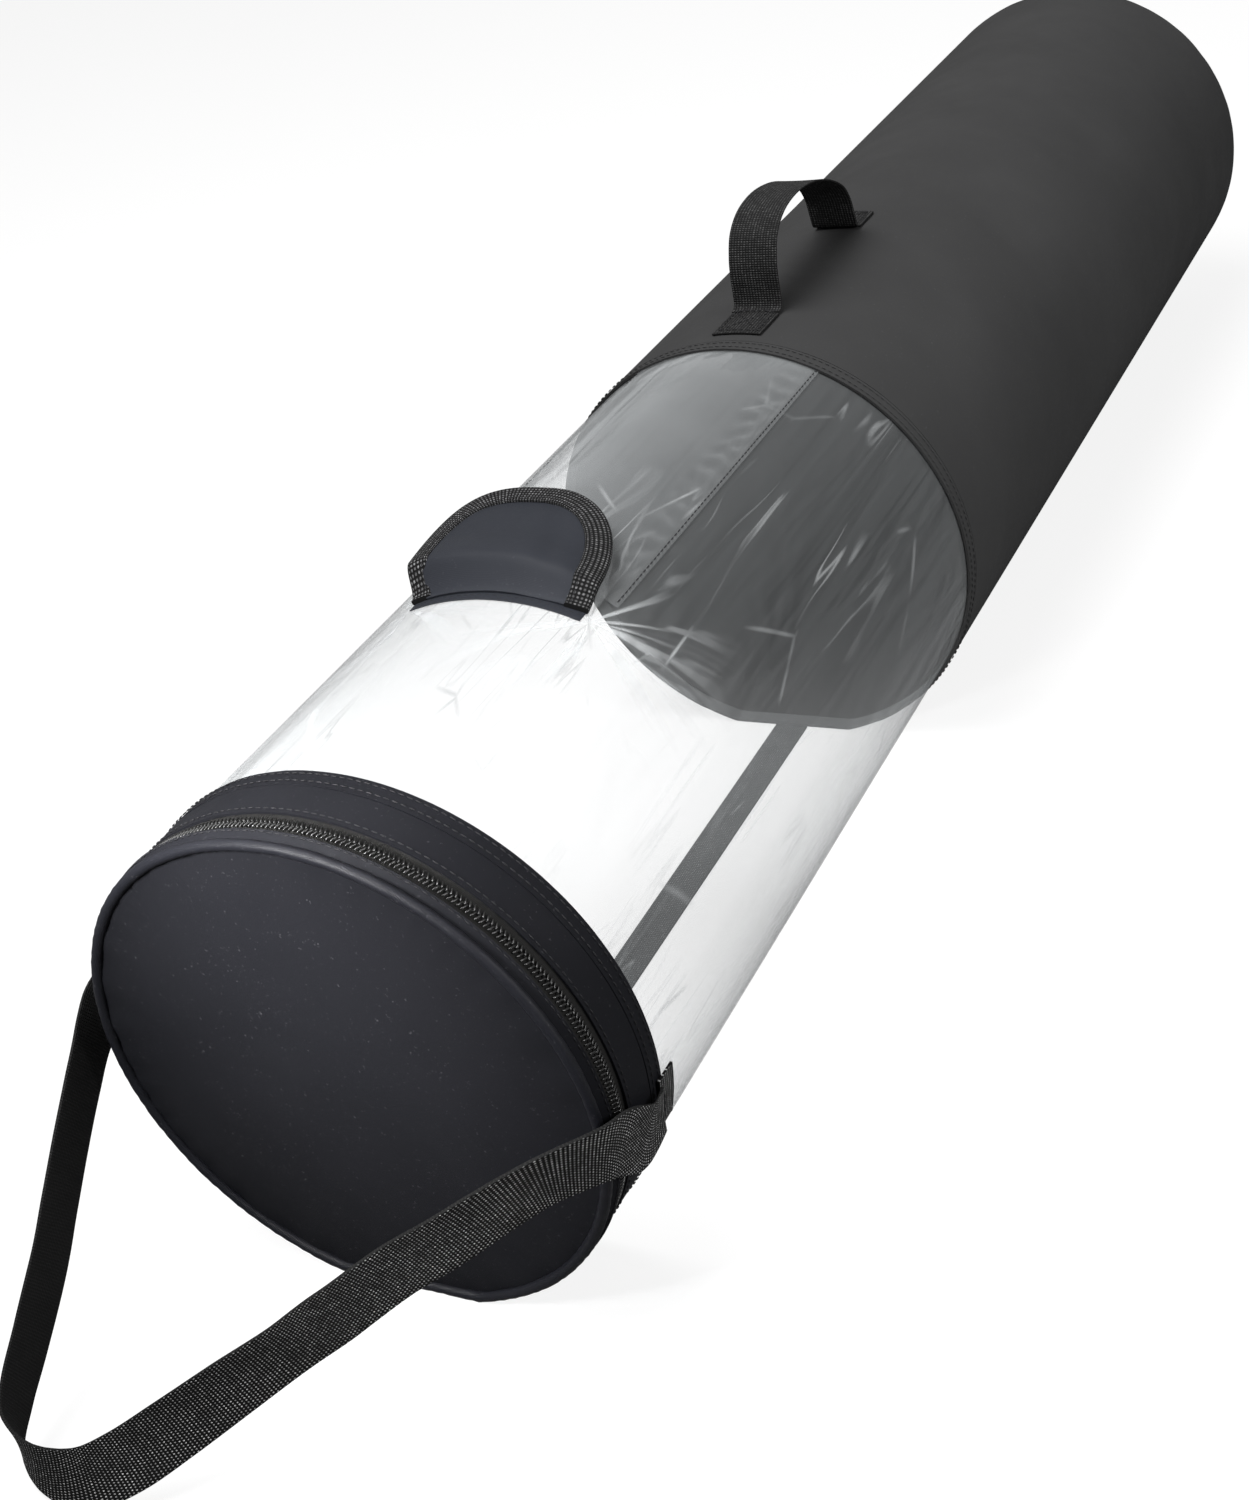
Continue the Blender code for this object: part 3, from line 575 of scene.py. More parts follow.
crease_group = make_group("soft_creases", soft_creases, Place=None, Swell=14.0, Ridge=30.0)

# %% Crumpled film


def crumpled_film(tree, given):
    """Film that has been folded up: facets with straight creases between them, and long white lines along the bag.
    The creases are white partly from creasing and partly as painted highlight, and the long lines are painted
    reflections.
    """
    place = given["Place"]
    drawn = add_node(tree, "Mapping", {"Vector": place, "Rotation": (0.2, 0.5, 0.35), "Scale": (1.0, 0.42, 1.0)})[0]
    cells = add_node(tree, "TexVoronoi", {"Vector": drawn, "Scale": given["Facet"]}, feature="DISTANCE_TO_EDGE")
    shown = spread(tree, noise_at(tree, place, 19.0, 1.0), 0.58, 0.74)
    # white crease lines: partly crease whitening, partly painted highlight
    creases = times(tree, spread(tree, cells["Distance"], 0.0, 0.016, 1.0, 0.0), shown)
    combed = add_node(tree, "Mapping", {"Vector": place, "Scale": (1.0, 0.07, 1.0)})[0]
    long_waves = noise_at(tree, combed, 75.0, 2.0, 0.5, 0.5)
    where = spread(tree, noise_at(tree, place, 11.0, 1.0), 0.50, 0.68)
    # painted reflections: long white lines along the bag, where the film's shine would run
    painted_reflection_streaks = times(tree, thin_line(tree, long_waves, 0.022), where, 0.8)
    waves = calc(tree, "ADD", noise_at(tree, drawn, 30.0, 2.0, 0.5, 0.6), times(tree, long_waves, 0.6))
    height = calc(tree, "ADD", times(tree, cells["Distance"], 0.6), waves)
    return {"Height": height, "Creases": times(tree, calc(tree, "MAXIMUM", creases, painted_reflection_streaks), given["Share"])}


crumple_group = make_group("crumpled_film", crumpled_film, Place=None, Facet=22.0, Share=0.5)

# %% Film that is pulled at a corner


def pulled_film(tree, given):
    """White folds that fan out from one point, where sewing pulls at the film. Their white is partly crease whitening
    and partly painted highlight.
    """
    away = add_node(tree, "VectorMath", {0: given["Place"], 1: given["Corner"]}, operation="SUBTRACT")[0]
    length = add_node(tree, "VectorMath", {0: away}, operation="LENGTH")["Value"]
    parts = add_node(tree, "SeparateXYZ", {0: away})
    turn = calc(tree, "ARCTAN2", parts["X"], parts["Y"])
    ray = add_node(tree, "CombineXYZ", {"X": turn, "Y": times(tree, length, 3.5)})[0]
    fold = spread(tree, noise_at(tree, ray, 3.8, 2.0, 0.6, 0.6), 0.52, 0.60)
    fade = spread(tree, calc(tree, "DIVIDE", length, given["Reach"]), 0.15, 1.0, 1.0, 0.0)
    return {"Folds": times(tree, fold, fade, fade)}


pull_group = make_group("pulled_film", pulled_film, Place=None, Corner=None, Reach=0.07)

# %% Webbing


def webbing_rows(tree, given):
    """Webbing: thick yarn in slanting rows across the strap, with light specks whose strength varies. They are light
    yarn on the strap, and painted highlights on the grab handle's ribs.
    """
    cut = add_node(tree, "SeparateXYZ", {0: given["Map"]})
    row = calc(tree, "DIVIDE", cut["Y"], given["Long"])
    row_number = calc(tree, "FLOOR", row)
    column = calc(tree, "ADD", calc(tree, "DIVIDE", cut["X"], given["Wide"]), times(tree, row_number, given["Slant"]))
    in_row = calc(tree, "SUBTRACT", calc(tree, "FRACT", row), 0.5)
    in_column = calc(tree, "SUBTRACT", calc(tree, "FRACT", column), 0.5)
    off = calc(tree, "SQRT", calc(tree, "ADD", times(tree, in_row, in_row), times(tree, in_column, in_column)))
    cell = add_node(tree, "CombineXYZ", {"X": calc(tree, "FLOOR", column), "Y": row_number})[0]
    chance = add_node(tree, "TexWhiteNoise", {"Vector": cell}, noise_dimensions="2D")["Value"]
    shown = times(tree, spread(tree, times(tree, chance, chance), 0.0, 1.0, 0.35, 1.0), given["Share"])
    dots = spread(tree, off, times(tree, given["Dot"], 0.5), given["Dot"], 1.0, 0.0)
    patches = spread(tree, noise_at(tree, given["Map"], 60.0, 2.0), 0.3, 0.6, 0.6, 1.0)
    return {"Height": spread(tree, off, 0.05, 0.55, 1.0, 0.0), "Specks": times(tree, dots, shown, patches)}


webbing_group = make_group(
    "webbing_rows", webbing_rows, Map=None, Wide=0.0016, Long=0.0018, Share=0.6, Dot=0.24, Slant=0.0)

# %% [markdown]
# ## The finishes
#
# The lid, collar and flap are a tight black satin with a cast of blue. The body is a thinner charcoal cloth
# with a coating. Both show their weave only as a soft grain, and broad creases carry most of the light.
# Each finish starts from the same plain material and adds its own groups and values.

# %% A plain material, and the satins


def dress(material, looks):
    """Feed the material's Principled shader, and give the material back."""
    feed(material.node_tree, material.node_tree.nodes["Principled BSDF"], looks)
    return material


def new_finish(name, roughness, specular):
    """A material with its tree, and the place on its piece, both in metres and on the piece's map."""
    material = bpy.data.materials.new(name)
    material.use_nodes = True
    dress(material, {"Roughness": roughness, "Specular IOR Level": specular})
    coordinates = add_node(material.node_tree, "TexCoord", {})
    return material, material.node_tree, coordinates["Object"], coordinates["UV"]


def make_satin(name, dark, light, roughness, thread, crease_depth, swell, ridge, shine):
    """Woven cloth with a soft shine, broad creases and a little dust."""
    material, tree, place, cut = new_finish(name, roughness, shine)
    weave = add_group(tree, weave_group, Map=cut, Thread=thread, Slant=0.5)
    crease = add_group(tree, crease_group, Place=place, Swell=swell, Ridge=ridge)
    cloudy = spread(tree, noise_at(tree, place, 7.0, 3.0, 0.55), 0.3, 0.7)
    cloth = blend_colours(tree, cloudy, dark, light)
    colour = blend_colours(tree, times(tree, crease["Dust"], 0.10), cloth, (0.3, 0.3, 0.32))
    uneven = spread(tree, noise_at(tree, place, 40.0, 3.0), 0.3, 0.7, roughness - 0.05, roughness + 0.07)
    broad = add_bump(tree, crease["Height"], crease_depth, 0.6)
    fine = add_bump(tree, weave["Height"], 0.00008, 0.5, Normal=broad)
    return dress(material, {"Base Color": colour, "Roughness": uneven, "Normal": fine})


black_satin = make_satin(
    "black_satin", (0.0078, 0.0080, 0.0098), (0.0106, 0.0108, 0.0130), 0.48, 0.00045, 0.003, 13.0, 34.0, 0.04)
flap_satin = make_satin(
    "flap_satin", (0.0190, 0.0206, 0.0258), (0.0226, 0.0246, 0.0306), 0.48, 0.00045, 0.001, 20.0, 34.0, 0.10)
piping_satin = make_satin(
    "piping_satin", (0.0070, 0.0073, 0.0096), (0.0094, 0.0097, 0.0126), 0.42, 0.00045, 0.001, 60.0, 120.0, 0.14)
charcoal_cloth = make_satin(
    "charcoal_cloth", (0.0388, 0.0388, 0.0392), (0.0480, 0.0480, 0.0484), 0.66, 0.00055, 0.004, 9.0, 22.0, 0.05)
print("satins:", black_satin.name, flap_satin.name, piping_satin.name, charcoal_cloth.name)

# %% [markdown]
# Webbing is much coarser. The carry strap is black with light grey specks in rows, and the grab handle is
# a dark grey one with plain ribs, whose light specks are painted highlights. The zip's tape is a fine twill,
# and the binding a narrow woven ribbon.

# %% Webbing, tape and binding


def make_webbing(name, ground, speck_and_highlight, wide, long, depth, dot=0.24, slant=0.0, share=1.0, turned=False):
    """Webbing with its rows of yarn along the piece's map, or across it when turned. The grooves between the rows are
    painted darker as shade.
    """
    material, tree, place, cut = new_finish(name, 0.8, 0.15)
    if turned:
        parts = add_node(tree, "SeparateXYZ", {0: cut})
        cut = add_node(tree, "CombineXYZ", {"X": parts["Y"], "Y": parts["X"]})[0]
    rows = add_group(tree, webbing_group, Map=cut, Wide=wide, Long=long, Share=share, Dot=dot, Slant=slant)
    worn = noise_at(tree, place, 90.0, 2.0)
    yarn = blend_colours(tree, worn, tuple(c * 0.7 for c in ground), tuple(c * 1.3 for c in ground))
    # painted shade: the colour is darkened in the grooves between rows of yarn
    painted_groove_shade = spread(tree, rows["Height"], 0.0, 0.5, 0.55, 0.0)
    shaded = blend_colours(tree, painted_groove_shade, yarn, (0.003, 0.003, 0.003))
    colour = blend_colours(tree, rows["Specks"], shaded, speck_and_highlight)
    return dress(material, {"Base Color": colour, "Normal": add_bump(tree, rows["Height"], depth)})


strap_webbing = make_webbing(
    "strap_webbing", (0.0038, 0.0038, 0.0038), (0.80, 0.80, 0.80), 0.0012, 0.0016, 0.0003, 0.28, 0.42)
strap_back = make_webbing(
    "strap_back", (0.0085, 0.0085, 0.0085), (0.022, 0.022, 0.022), 0.0011, 0.0013, 0.0003, share=0.8)
# the handle's light specks are painted highlights on its ribs
handle_webbing = make_webbing(
    "handle_webbing", (0.0090, 0.0090, 0.0092), (0.095, 0.095, 0.095), 0.0012, 0.0016, 0.0005, 0.42, turned=True)
edge_binding = make_webbing(
    "edge_binding", (0.0040, 0.0040, 0.0043), (0.26, 0.26, 0.265), 0.0012, 0.0014, 0.0006, 0.36)
fastener_pile = make_webbing(
    "fastener_pile", (0.0120, 0.0120, 0.0120), (0.03, 0.03, 0.03), 0.0007, 0.0007, 0.0006, share=0.9)


def make_twill():
    """The zip's tape, with slanted ribs. Its colour is painted darker in the grooves between the ribs, as shade."""
    material, tree, place, cut = new_finish("zip_twill", 0.75, 0.3)
    ribs = add_group(tree, weave_group, Map=cut, Thread=0.0008, Slant=1.0)["Height"]
    # painted shade: the colour follows the ribs' height, darker in the grooves
    colour = blend_colours(tree, ribs, (0.003, 0.0028, 0.0027), (0.010, 0.0094, 0.0086))
    return dress(material, {"Base Color": colour, "Normal": add_bump(tree, ribs, 0.0003)})


zip_twill = make_twill()
print("webbing and tape:", strap_webbing.name, handle_webbing.name, edge_binding.name, zip_twill.name)

# %% [markdown]
# The zip's coil is bent from shiny black plastic and the slider is painted metal that is worn grey on its
# corners. The sewing thread is matt and nearly black.

# %% Coil, slider and thread


def make_coil():
    """Shiny black plastic with small changes in its shine."""
    material, tree, place, cut = new_finish("coil_plastic", 0.30, 0.7)
    uneven = noise_at(tree, place, 700.0, 2.0)
    return dress(material, {
        "Base Color": blend_colours(tree, uneven, (0.002, 0.002, 0.002), (0.008, 0.0079, 0.0077)),
        "Roughness": spread(tree, uneven, 0.3, 0.7, 0.17, 0.32),
        "Normal": add_bump(tree, uneven, 0.0001)})


def make_painted_metal():
    """Black paint with fine scratches that show brighter metal."""
    material, tree, place, cut = new_finish("slider_paint", 0.35, 0.5)
    scratches = spread(tree, noise_at(tree, place, 900.0, 4.0, 0.7, 1.5), 0.62, 0.70)
    return dress(material, {
        "Base Color": blend_colours(tree, scratches, (0.016, 0.016, 0.017), (0.22, 0.22, 0.22)),
        "Metallic": scratches,
        "Roughness": spread(tree, noise_at(tree, place, 300.0), 0.3, 0.7, 0.25, 0.45),
        "Normal": add_bump(tree, scratches, 0.00005)})


def make_thread(name, colour):
    """Sewing thread with its twist."""
    material, tree, place, cut = new_finish(name, 0.7, 0.3)
    fuzz = noise_at(tree, place, 1500.0, 2.0)
    tint = blend_colours(tree, fuzz, tuple(c * 0.6 for c in colour), tuple(c * 1.5 for c in colour))
    return dress(material, {"Base Color": tint, "Normal": add_bump(tree, fuzz, 0.0001)})


coil_plastic = make_coil()
slider_paint = make_painted_metal()
dark_thread = make_thread("dark_thread", (0.010, 0.010, 0.0115))
grey_thread = make_thread("grey_thread", (0.035, 0.035, 0.036))
print("small finishes:", coil_plastic.name, slider_paint.name, dark_thread.name, grey_thread.name)

# %% [markdown]
# The window is a clear soft film. Most of it is simply see-through. What makes it visible is its shine, the
# milky lines where it has been creased, and its edges, where we look along it. Its shine is painted: its alpha
# is low, and rises at grazing angles with a Layer Weight node, which shows its pale colour there as a painted
# reflection, and with the crease mask, whose white lines are partly crease whitening and partly painted
# highlights and reflections.

# %% The clear film


def make_film(name, body_alpha, edge_alpha, facet, share, corners):
    """Clear film with white crease lines, and folds that fan out from each corner. The white is partly crease
    whitening and partly painted highlight, and the pale rim at grazing angles is a painted reflection.
    """
    material, tree, place, cut = new_finish(name, 0.05, 0.8)
    crumple = add_group(tree, crumple_group, Place=place, Facet=facet, Share=share)
    # white lines of the creases and folds: partly crease whitening, partly painted highlight and reflection
    white = crumple["Creases"]
    for corner in corners:
        pulled = add_group(tree, pull_group, Place=place, Corner=tuple(corner), Reach=0.085)
        white = calc(tree, "MAXIMUM", white, times(tree, pulled["Folds"], 0.32))
    # painted reflection: the pale base colour shows more at grazing angles, in place of the film's shine
    rim = calc(tree, "POWER", add_node(tree, "LayerWeight", {"Blend": 0.35})["Facing"], 2.2)
    alpha = spread(tree, rim, 0.0, 1.0, body_alpha, edge_alpha)
    return dress(material, {
        "Alpha": calc(tree, "ADD", alpha, white, clamp=True),
        "Base Color": blend_colours(tree, white, (0.50, 0.52, 0.53), (0.95, 0.97, 0.98)),
        "Roughness": spread(tree, white, 0.0, 1.0, 0.05, 0.35),
        "Normal": add_bump(tree, crumple["Height"], 0.004, 0.9)})


flap_corners = [bag_point(side * 0.044, 0.180, 0.106) for side in (-1, 1)]
window_film = make_film("window_film", 0.035, 0.50, 16.0, 0.30, flap_corners)
pocket_film = make_film("pocket_film", 0.05, 0.55, 21.0, 0.38, [])
print("films:", window_film.name, pocket_film.name)

# %% [markdown]
# ## The lid
#
# The lid's face is one round of satin, stuffed a little by what is behind it. It starts as a filled circle
# that is inset again and again, so that it has rings to shape. The rings are then moved to a shallow crown,
# with small puckers where the face is gathered into the piping and a few slack dents.

# %% The lid's face
lid_rim_y = 0.0030
lid_face_radius = 0.1128


def lid_front(x, z):
    """How far along the bag the lid's face lies at a place on it."""
    away = min(1.0, hypot(x, z) / lid_face_radius)
    turn = round_angle(x, z)
    crown = 0.0038 * (1 - away ** 2.4)
    pucker = 0.0010 * sin(turn * 41 + 3 * sin(turn * 5)) * max(0.0, away - 0.78) / 0.22
    pucker *= 0.4 + 0.6 * abs(ripple(x, 0.3, z, 0.05))
    slack = 0.0017 * ripple(x * 0.8, 0.1, z + x * 0.5, 0.06) * (1 - away ** 6)
    pull = 0.0006 * ripple(x * 2, 0.7, z * 0.7, 0.022) * max(0.0, away - 0.45)
    return lid_rim_y - crown + pucker + slack + pull


lid_face = make_round("lid_face", 144, lid_face_radius, [0.0022] * 14 + [0.0058] * 12, 0.0028, lid_front, -1)
finish_piece(lid_face, black_satin, "lid", "satin_lid", "lid_panel")

# %% [markdown]
# The piping is a strip of satin rolled over a cord and sewn between the face and the band. A torus gives
# the roll. Where it is sewn in, the cloth gathers in tiny oblique puckers, and where the bag rests it is
# pressed to the floor, which also keeps it on the bag's flat section.

# %% The lid's piping
piping_radius = 0.0023
piping_sunk = 0.0024


def piping_rule(x, y, z):
    """The roll with its puckers, kept on the bag's section."""
    angle = round_angle(x, z)
    depth = bag_radius - hypot(x, z)
    side = float(np.arctan2(y - piping_sunk, depth - piping_sunk))
    swell = min(1.04, 1 + 0.05 * sin(angle * 150 + side * 2) + 0.10 * ripple(x, y, z, 0.012))
    depth = piping_sunk + (depth - piping_sunk) * swell
    return skin(angle, piping_sunk + (y - piping_sunk) * swell, max(depth, 0.0))


rolled_piping = make_roll(
    "rolled_piping", piping_sunk, piping_sunk, piping_radius, 420, 14, 2 * pi * piping_radius, piping_rule)
finish_piece(rolled_piping, piping_satin, "lid", "satin_lid", "lid_piping")

# %% [markdown]
# Behind the piping a narrow band of the same satin carries the zip. Its front edge is tucked in under the
# piping. At the bottom it stops, because there the lid stays sewn to the bag.

# %% The lid's band and the gusset
band_corners = 168


def make_band(name, run, depth, wall, open_below=None, waves=0.0, tuck=0.0, grow=-1):
    """A narrow band of cloth whose rims can be a little uneven. Its front rim can be tucked in deeper."""

    def rule(angle, y):
        wave = round_ripple(angle, y * 1.5, 0.03) + 0.5 * ripple(sin(angle) * 0.3, y * 2 + 5, cos(angle) * 0.3, 0.02)
        return skin(angle, y, max(0.0, depth + waves * wave + (tuck if y < sum(run) / 2 else 0.0)))

    return make_tube(name, run, band_corners, rule, wall, open_below, grow)


lid_edge = make_band("lid_edge", (0.0051, 0.0094), 0.0004, 0.0010, radians(22), waves=0.0001, tuck=0.0030, grow=1)
finish_piece(lid_edge, black_satin, "lid", "satin_lid", "lid_band")
gusset = make_band("sewn_gusset", (0.0054, 0.0204), 0.0003, 0.0010)
part_round(gusset, radians(21.6), keep_low=True)
fill_holes(gusset)
finish_piece(gusset, black_satin, "bag", "satin_lid", "hinge_gusset")

# %% [markdown]
# ## The zip
#
# A coil zip has two twill tapes. A plastic wire is bent into a coil along the edge of each, and the loops of
# one coil sit between the loops of the other. From outside, each loop is a short shiny bar. This is the part
# of the bag that takes the most care: one bar is modelled, a swollen head on a bent neck, and it is then
# copied a few hundred times round each side, half a pitch apart.

# %% The tapes
tape_gap = radians(22.2)
tape_lid = make_band("tape_lid", (0.0072, 0.01478), 0.0020, 0.0006, tape_gap)
finish_piece(tape_lid, zip_twill, "lid", "zip_tape", "zip_tape_lid")
tape_collar = make_band("tape_collar", (0.01522, 0.0230), 0.0020, 0.0006, tape_gap)
finish_piece(tape_collar, zip_twill, "bag", "zip_tape", "zip_tape_collar")

# %% One bar of the coil
chain_y = 0.0150
loop_pitch = 0.0020
loop_length = 0.0034
loop_radius = 0.00044
coil_radius = 0.1142
coil_start, coil_end = radians(33.2), radians(326.8)


def bend_loop(co):
    """A short rod along the bag, bent down at its back and swollen at its head."""
    share = (co.y + loop_length / 2) / loop_length
    head = 1.0 + 0.10 * max(0.0, 1 - abs(share - 0.82) / 0.2)
    taper = 0.55 if share < 0.02 or share > 0.98 else 1.0
    return Vector((co.x * head * taper, co.y, co.z * taper - 0.0004 * (1 - share) ** 2))


def make_loop_model():
    """One bar of the coil."""
    deselect()
    bpy.ops.mesh.primitive_cylinder_add(vertices=8, radius=loop_radius, depth=loop_length, rotation=(pi / 2, 0, 0))
    obj = added("coil_loop_model")
    edit(obj)
    pick(obj, lambda edge: abs(edge.verts[0].co.y - edge.verts[1].co.y) > loop_length / 2)
    bpy.ops.mesh.subdivide(number_cuts=4)
    deselect()
    move_points(obj, bend_loop)
    return obj


def copy_to(name, model, places):
    """One mesh that holds a copy of the model's mesh at each place. The model is taken away after that."""
    points = np.array([vertex.co[:] + (1.0,) for vertex in model.data.vertices])
    faces = [tuple(polygon.vertices) for polygon in model.data.polygons]
    all_points = []
    all_faces = []
    for place in places:
        first = len(all_points)
        all_points.extend((points @ np.array(place).T)[:, :3].tolist())
        all_faces.extend(tuple(first + corner for corner in face) for face in faces)
    mesh = bpy.data.meshes.new(name)
    mesh.from_pydata(all_points, [], all_faces)
    obj = bpy.data.objects.new(name, mesh)
    bpy.context.scene.collection.objects.link(obj)
    hold(obj)
    bpy.ops.object.shade_smooth()
    bpy.data.objects.remove(model, do_unlink=True)
    print(name, "copies:", len(places))
    return obj


def frame_at(point, along, up):
    """A place whose Y runs along a direction and whose Z points up from the surface."""
    along = along.normalized()
    side = along.cross(up).normalized()
    place = Matrix((side, along, side.cross(along))).transposed().to_4x4()
    place.translation = point
    return place


def make_coil_row(name, body, direction, node):
    """The bars of one side, which point at the other side."""
    count = int((coil_end - coil_start) * coil_radius / loop_pitch)
    middle = chain_y - direction * (loop_length / 2 - 0.0003)
    places = []
    for index in range(count):
        angle = coil_start + (coil_end - coil_start) * ((index + (0.25 if direction > 0 else 0.75)) / count)
        lean = Vector((0, direction, 0)) - Vector((cos(angle), 0, sin(angle))) * 0.38
        places.append(frame_at(skin(angle, middle, 0.00085), lean, outwards(angle)))
    obj = copy_to(name, make_loop_model(), places)
    return finish_piece(obj, coil_plastic, body, "zip_coil", node)


make_coil_row("coil_lid", "lid", 1, "zip_teeth_lid")
make_coil_row("coil_collar", "bag", -1, "zip_teeth_collar")

# %% Slider and pull keep their solids
for label in ("zip_slider", "zip_pull"):
    for material_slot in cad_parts[label].material_slots:
        material_slot.material = slider_paint
print("painted:", "zip_slider", "zip_pull")

# %% [markdown]
# ## The collar
#
# The collar is the dark band between the zip and the window. Its front edge is folded in a little, and at its
# back it is folded double over the film and sewn through.

# %% Collar and its hem
collar_run = 0.0209, 0.0374


def collar_rule(angle, y):
    """The collar's rims, a little uneven, with the front one folded in."""
    fold = 0.0005 if y < sum(collar_run) / 2 else 0.0
    return skin(angle, y, max(0.0, 0.0002 + fold + 0.0005 * round_ripple(angle, y, 0.028)))


def make_hem(name, run, seed, cloth, slot, node):
    """A doubled edge, a little uneven, that stands over its neighbours except on the floor."""

    def rule(angle, y):
        point = skin(angle, y, 0.0004 + max(0.0, 0.00025 * round_ripple(angle, y + seed, 0.02)))
        return point + outwards(angle) * (0.0004 if cos(angle) < 0.9 else 0.0)

    return finish_piece(make_tube(name, run, band_corners, rule, 0.0013), cloth, "bag", slot, node)


collar = make_tube("collar_cloth", collar_run, band_corners, collar_rule, 0.0011)
finish_piece(collar, black_satin, "bag", "satin_lid", "collar_band")
collar_fold = make_hem("collar_fold", (0.0377, 0.0470), 0.3, black_satin, "satin_lid", "collar_hem")

# %% [markdown]
# ## The window and its seam
#
# The window is one sheet of clear film, rolled into a tube and seamed underneath. With nothing behind it the
# film keeps its round. Its dents and the pulls beside the flap are in its material.

# %% The window's film
film_wall = 0.0004
window = make_tube("window_sheet", (0.0390, 0.4350), 180, lambda angle, y: skin(angle, y, 0.0019), film_wall)
finish_piece(window, window_film, "bag", "clear_film", "window_tube")

# %% The woven tape over the film's seam, on the underside
seam_width, seam_length = 0.018, 0.379
film_seam = make_sheet(
    "seam_tape", 6, 60, seam_width, seam_length,
    lambda u, v: skin((u - 0.5) * seam_width / axis_height, 0.0475 + seam_length * v, 0.0))
give_wall(film_seam, 0.0012, -1.0 if film_seam.data.polygons[0].normal.z < 0 else 1.0)
finish_piece(film_seam, edge_binding, "bag", "binding", "back_seam_tape")

# %% [markdown]
# ## The pocket and its flap
#
# A second sheet of film is sewn along both sides and its far end, and is open towards the lid. It bulges a
# little. Film that is sewn always puckers beside the thread, so small waves run in from both sides.

# %% The pocket's film
pocket_half_angle = radians(26)
pocket_mouth_y = 0.195
pocket_end_y = 0.4267
film_depth = 0.0016


def pocket_height(y):
    """How far the pocket's middle stands off the window."""
    return 0.007 + 0.003 * ease((y - pocket_mouth_y) / 0.058)


def pocket_place(u, v):
    """The pocket's film at a share of its width and of its length from the mouth."""
    across = u * 2 - 1
    y = pocket_mouth_y + (pocket_end_y - pocket_mouth_y) * v
    end = min(1.0, (1 - v) / 0.22)
    rise = pocket_height(y) * cos(across * pi / 2) * sin(end * pi / 2)
    sewn = max(0.0, abs(across) - 0.72) / 0.28
    pucker = 0.0007 * sewn * (1 - sewn) * 4 * sin(y * 420 + 5 * ripple(across, y, 0, 0.05))
    fold = 0.0016 * ripple(across * 0.05, y * 0.7, 3.1, 0.030) * (1 - sewn) * min(1.0, v * 12)
    shut = min(1.0, max(0.0, rise) / 0.002)
    return skin(pi + pocket_half_angle * across, y, film_depth - rise - shut * (pucker + fold) - 0.0002)


pocket = make_sheet("pocket_sheet", 60, 120, 0.1030, 0.2270, pocket_place)
give_wall(pocket, film_wall, 1.0 if pocket.data.polygons[0].normal.z > 0 else -1.0)
smooth(pocket)
finish_piece(pocket, pocket_film, "bag", "clear_film", "pocket_panel")

# %% [markdown]
# The flap is a leaf of satin with a straight root, straight sides and a round end. Its root is sewn to the
# film. The leaf lies over the pocket's mouth, and a woven binding is folded over its edge and sewn on. The
# leaf is cut flat and then laid over the pocket, which gives it a crown and a few soft dents.

# %% The flap's shape
flap_hinge_y = 0.1825
flap_start_y = flap_hinge_y + 0.0003
flap_half_width = 0.0440
leaf_length = 0.0645
leaf_wall = 0.0012
binding_width = 0.0110
binding_inset = 0.0085
straight_share = 0.14
corner_power = 2.35


def flap_middle(y):
    """The angle of the flap's middle line, which runs a little to the left."""
    return pi + 0.0055 / bag_radius * (y - flap_hinge_y) / leaf_length


def flap_depth(angle, y):
    """Depth of the flap's under face. It rises over the pocket's mouth, and more so at its left side."""
    away = ease((y - flap_hinge_y) / (pocket_mouth_y - flap_hinge_y))
    across = min(1.0, abs(angle - pi) / pocket_half_angle)
    side_lift = 0.0125 if angle > pi else 0.0020
    side_lift *= 0.5 + 0.5 * max(0.0, y - flap_hinge_y) / leaf_length
    over = pocket_height(y) * cos(across * pi / 2) + 0.001 + 0.003 + side_lift * sin(across * pi / 2) ** 2
    return film_depth - over * away


def flap_place(u, v):
    """The leaf at a share of its width and length. Its edge leaves room for the binding."""
    y = flap_start_y + (leaf_length - binding_inset) * v
    bend = min(1.0, max(0.0, v - straight_share) / (1 - straight_share))
    reach = (flap_half_width - binding_inset) / bag_radius * (1.00001 - bend ** corner_power) ** (1 / corner_power)
    x = u * 2 - 1
    angle = flap_middle(y) + reach * x
    slack = 0.0004 * ripple(x * 0.06, y, 0.4, 0.026) * min(1.0, v * 8) * (1 - abs(x) ** 4) * (1 - v ** 6)
    hump = 0.0016 * bell(y - 0.2010, 0.010) * (1 - abs(x) ** 4)
    dent = 0.0010 * bell(x + 0.55, 0.16) * (1 - v ** 4)
    return skin(angle, y, flap_depth(angle, y) - leaf_wall / 2 - max(-0.0004, slack + hump - dent))


def upwards(co):
    """The way that pieces on top of the bag face."""
    return Vector((0, 0, 1))


flap_leaf = make_sheet("flap_leaf", 36, 40, 0.0880, 0.0600, flap_place)
clear_doubles(flap_leaf)
turn_faces(flap_leaf, upwards)
give_wall(flap_leaf, leaf_wall, 1.0)
smooth(flap_leaf)
finish_piece(flap_leaf, flap_satin, "flap", "satin_lid", "pocket_flap")

# %% The flap's binding
binding_steps = 120


def binding_line(turn_share):
    """A place on the flap's edge line, at half the binding's width, from one root corner to the other."""
    straight = 0.09
    width = flap_half_width - binding_width / 2
    length = leaf_length - binding_width / 2
    if turn_share < straight:
        turn, along = 0.0, turn_share / straight
    elif turn_share > 1 - straight:
        turn, along = pi, (1 - turn_share) / straight
    else:
        turn, along = pi * (turn_share - straight) / (1 - 2 * straight), 1.0
    out = max(0.0, sin(turn)) ** (2 / corner_power)
    aside = abs(cos(turn)) ** (2 / corner_power) * width / bag_radius
    y = flap_start_y + length * (straight_share * along + (1 - straight_share) * out)
    return flap_middle(y) - (aside if turn < pi / 2 else -aside), y


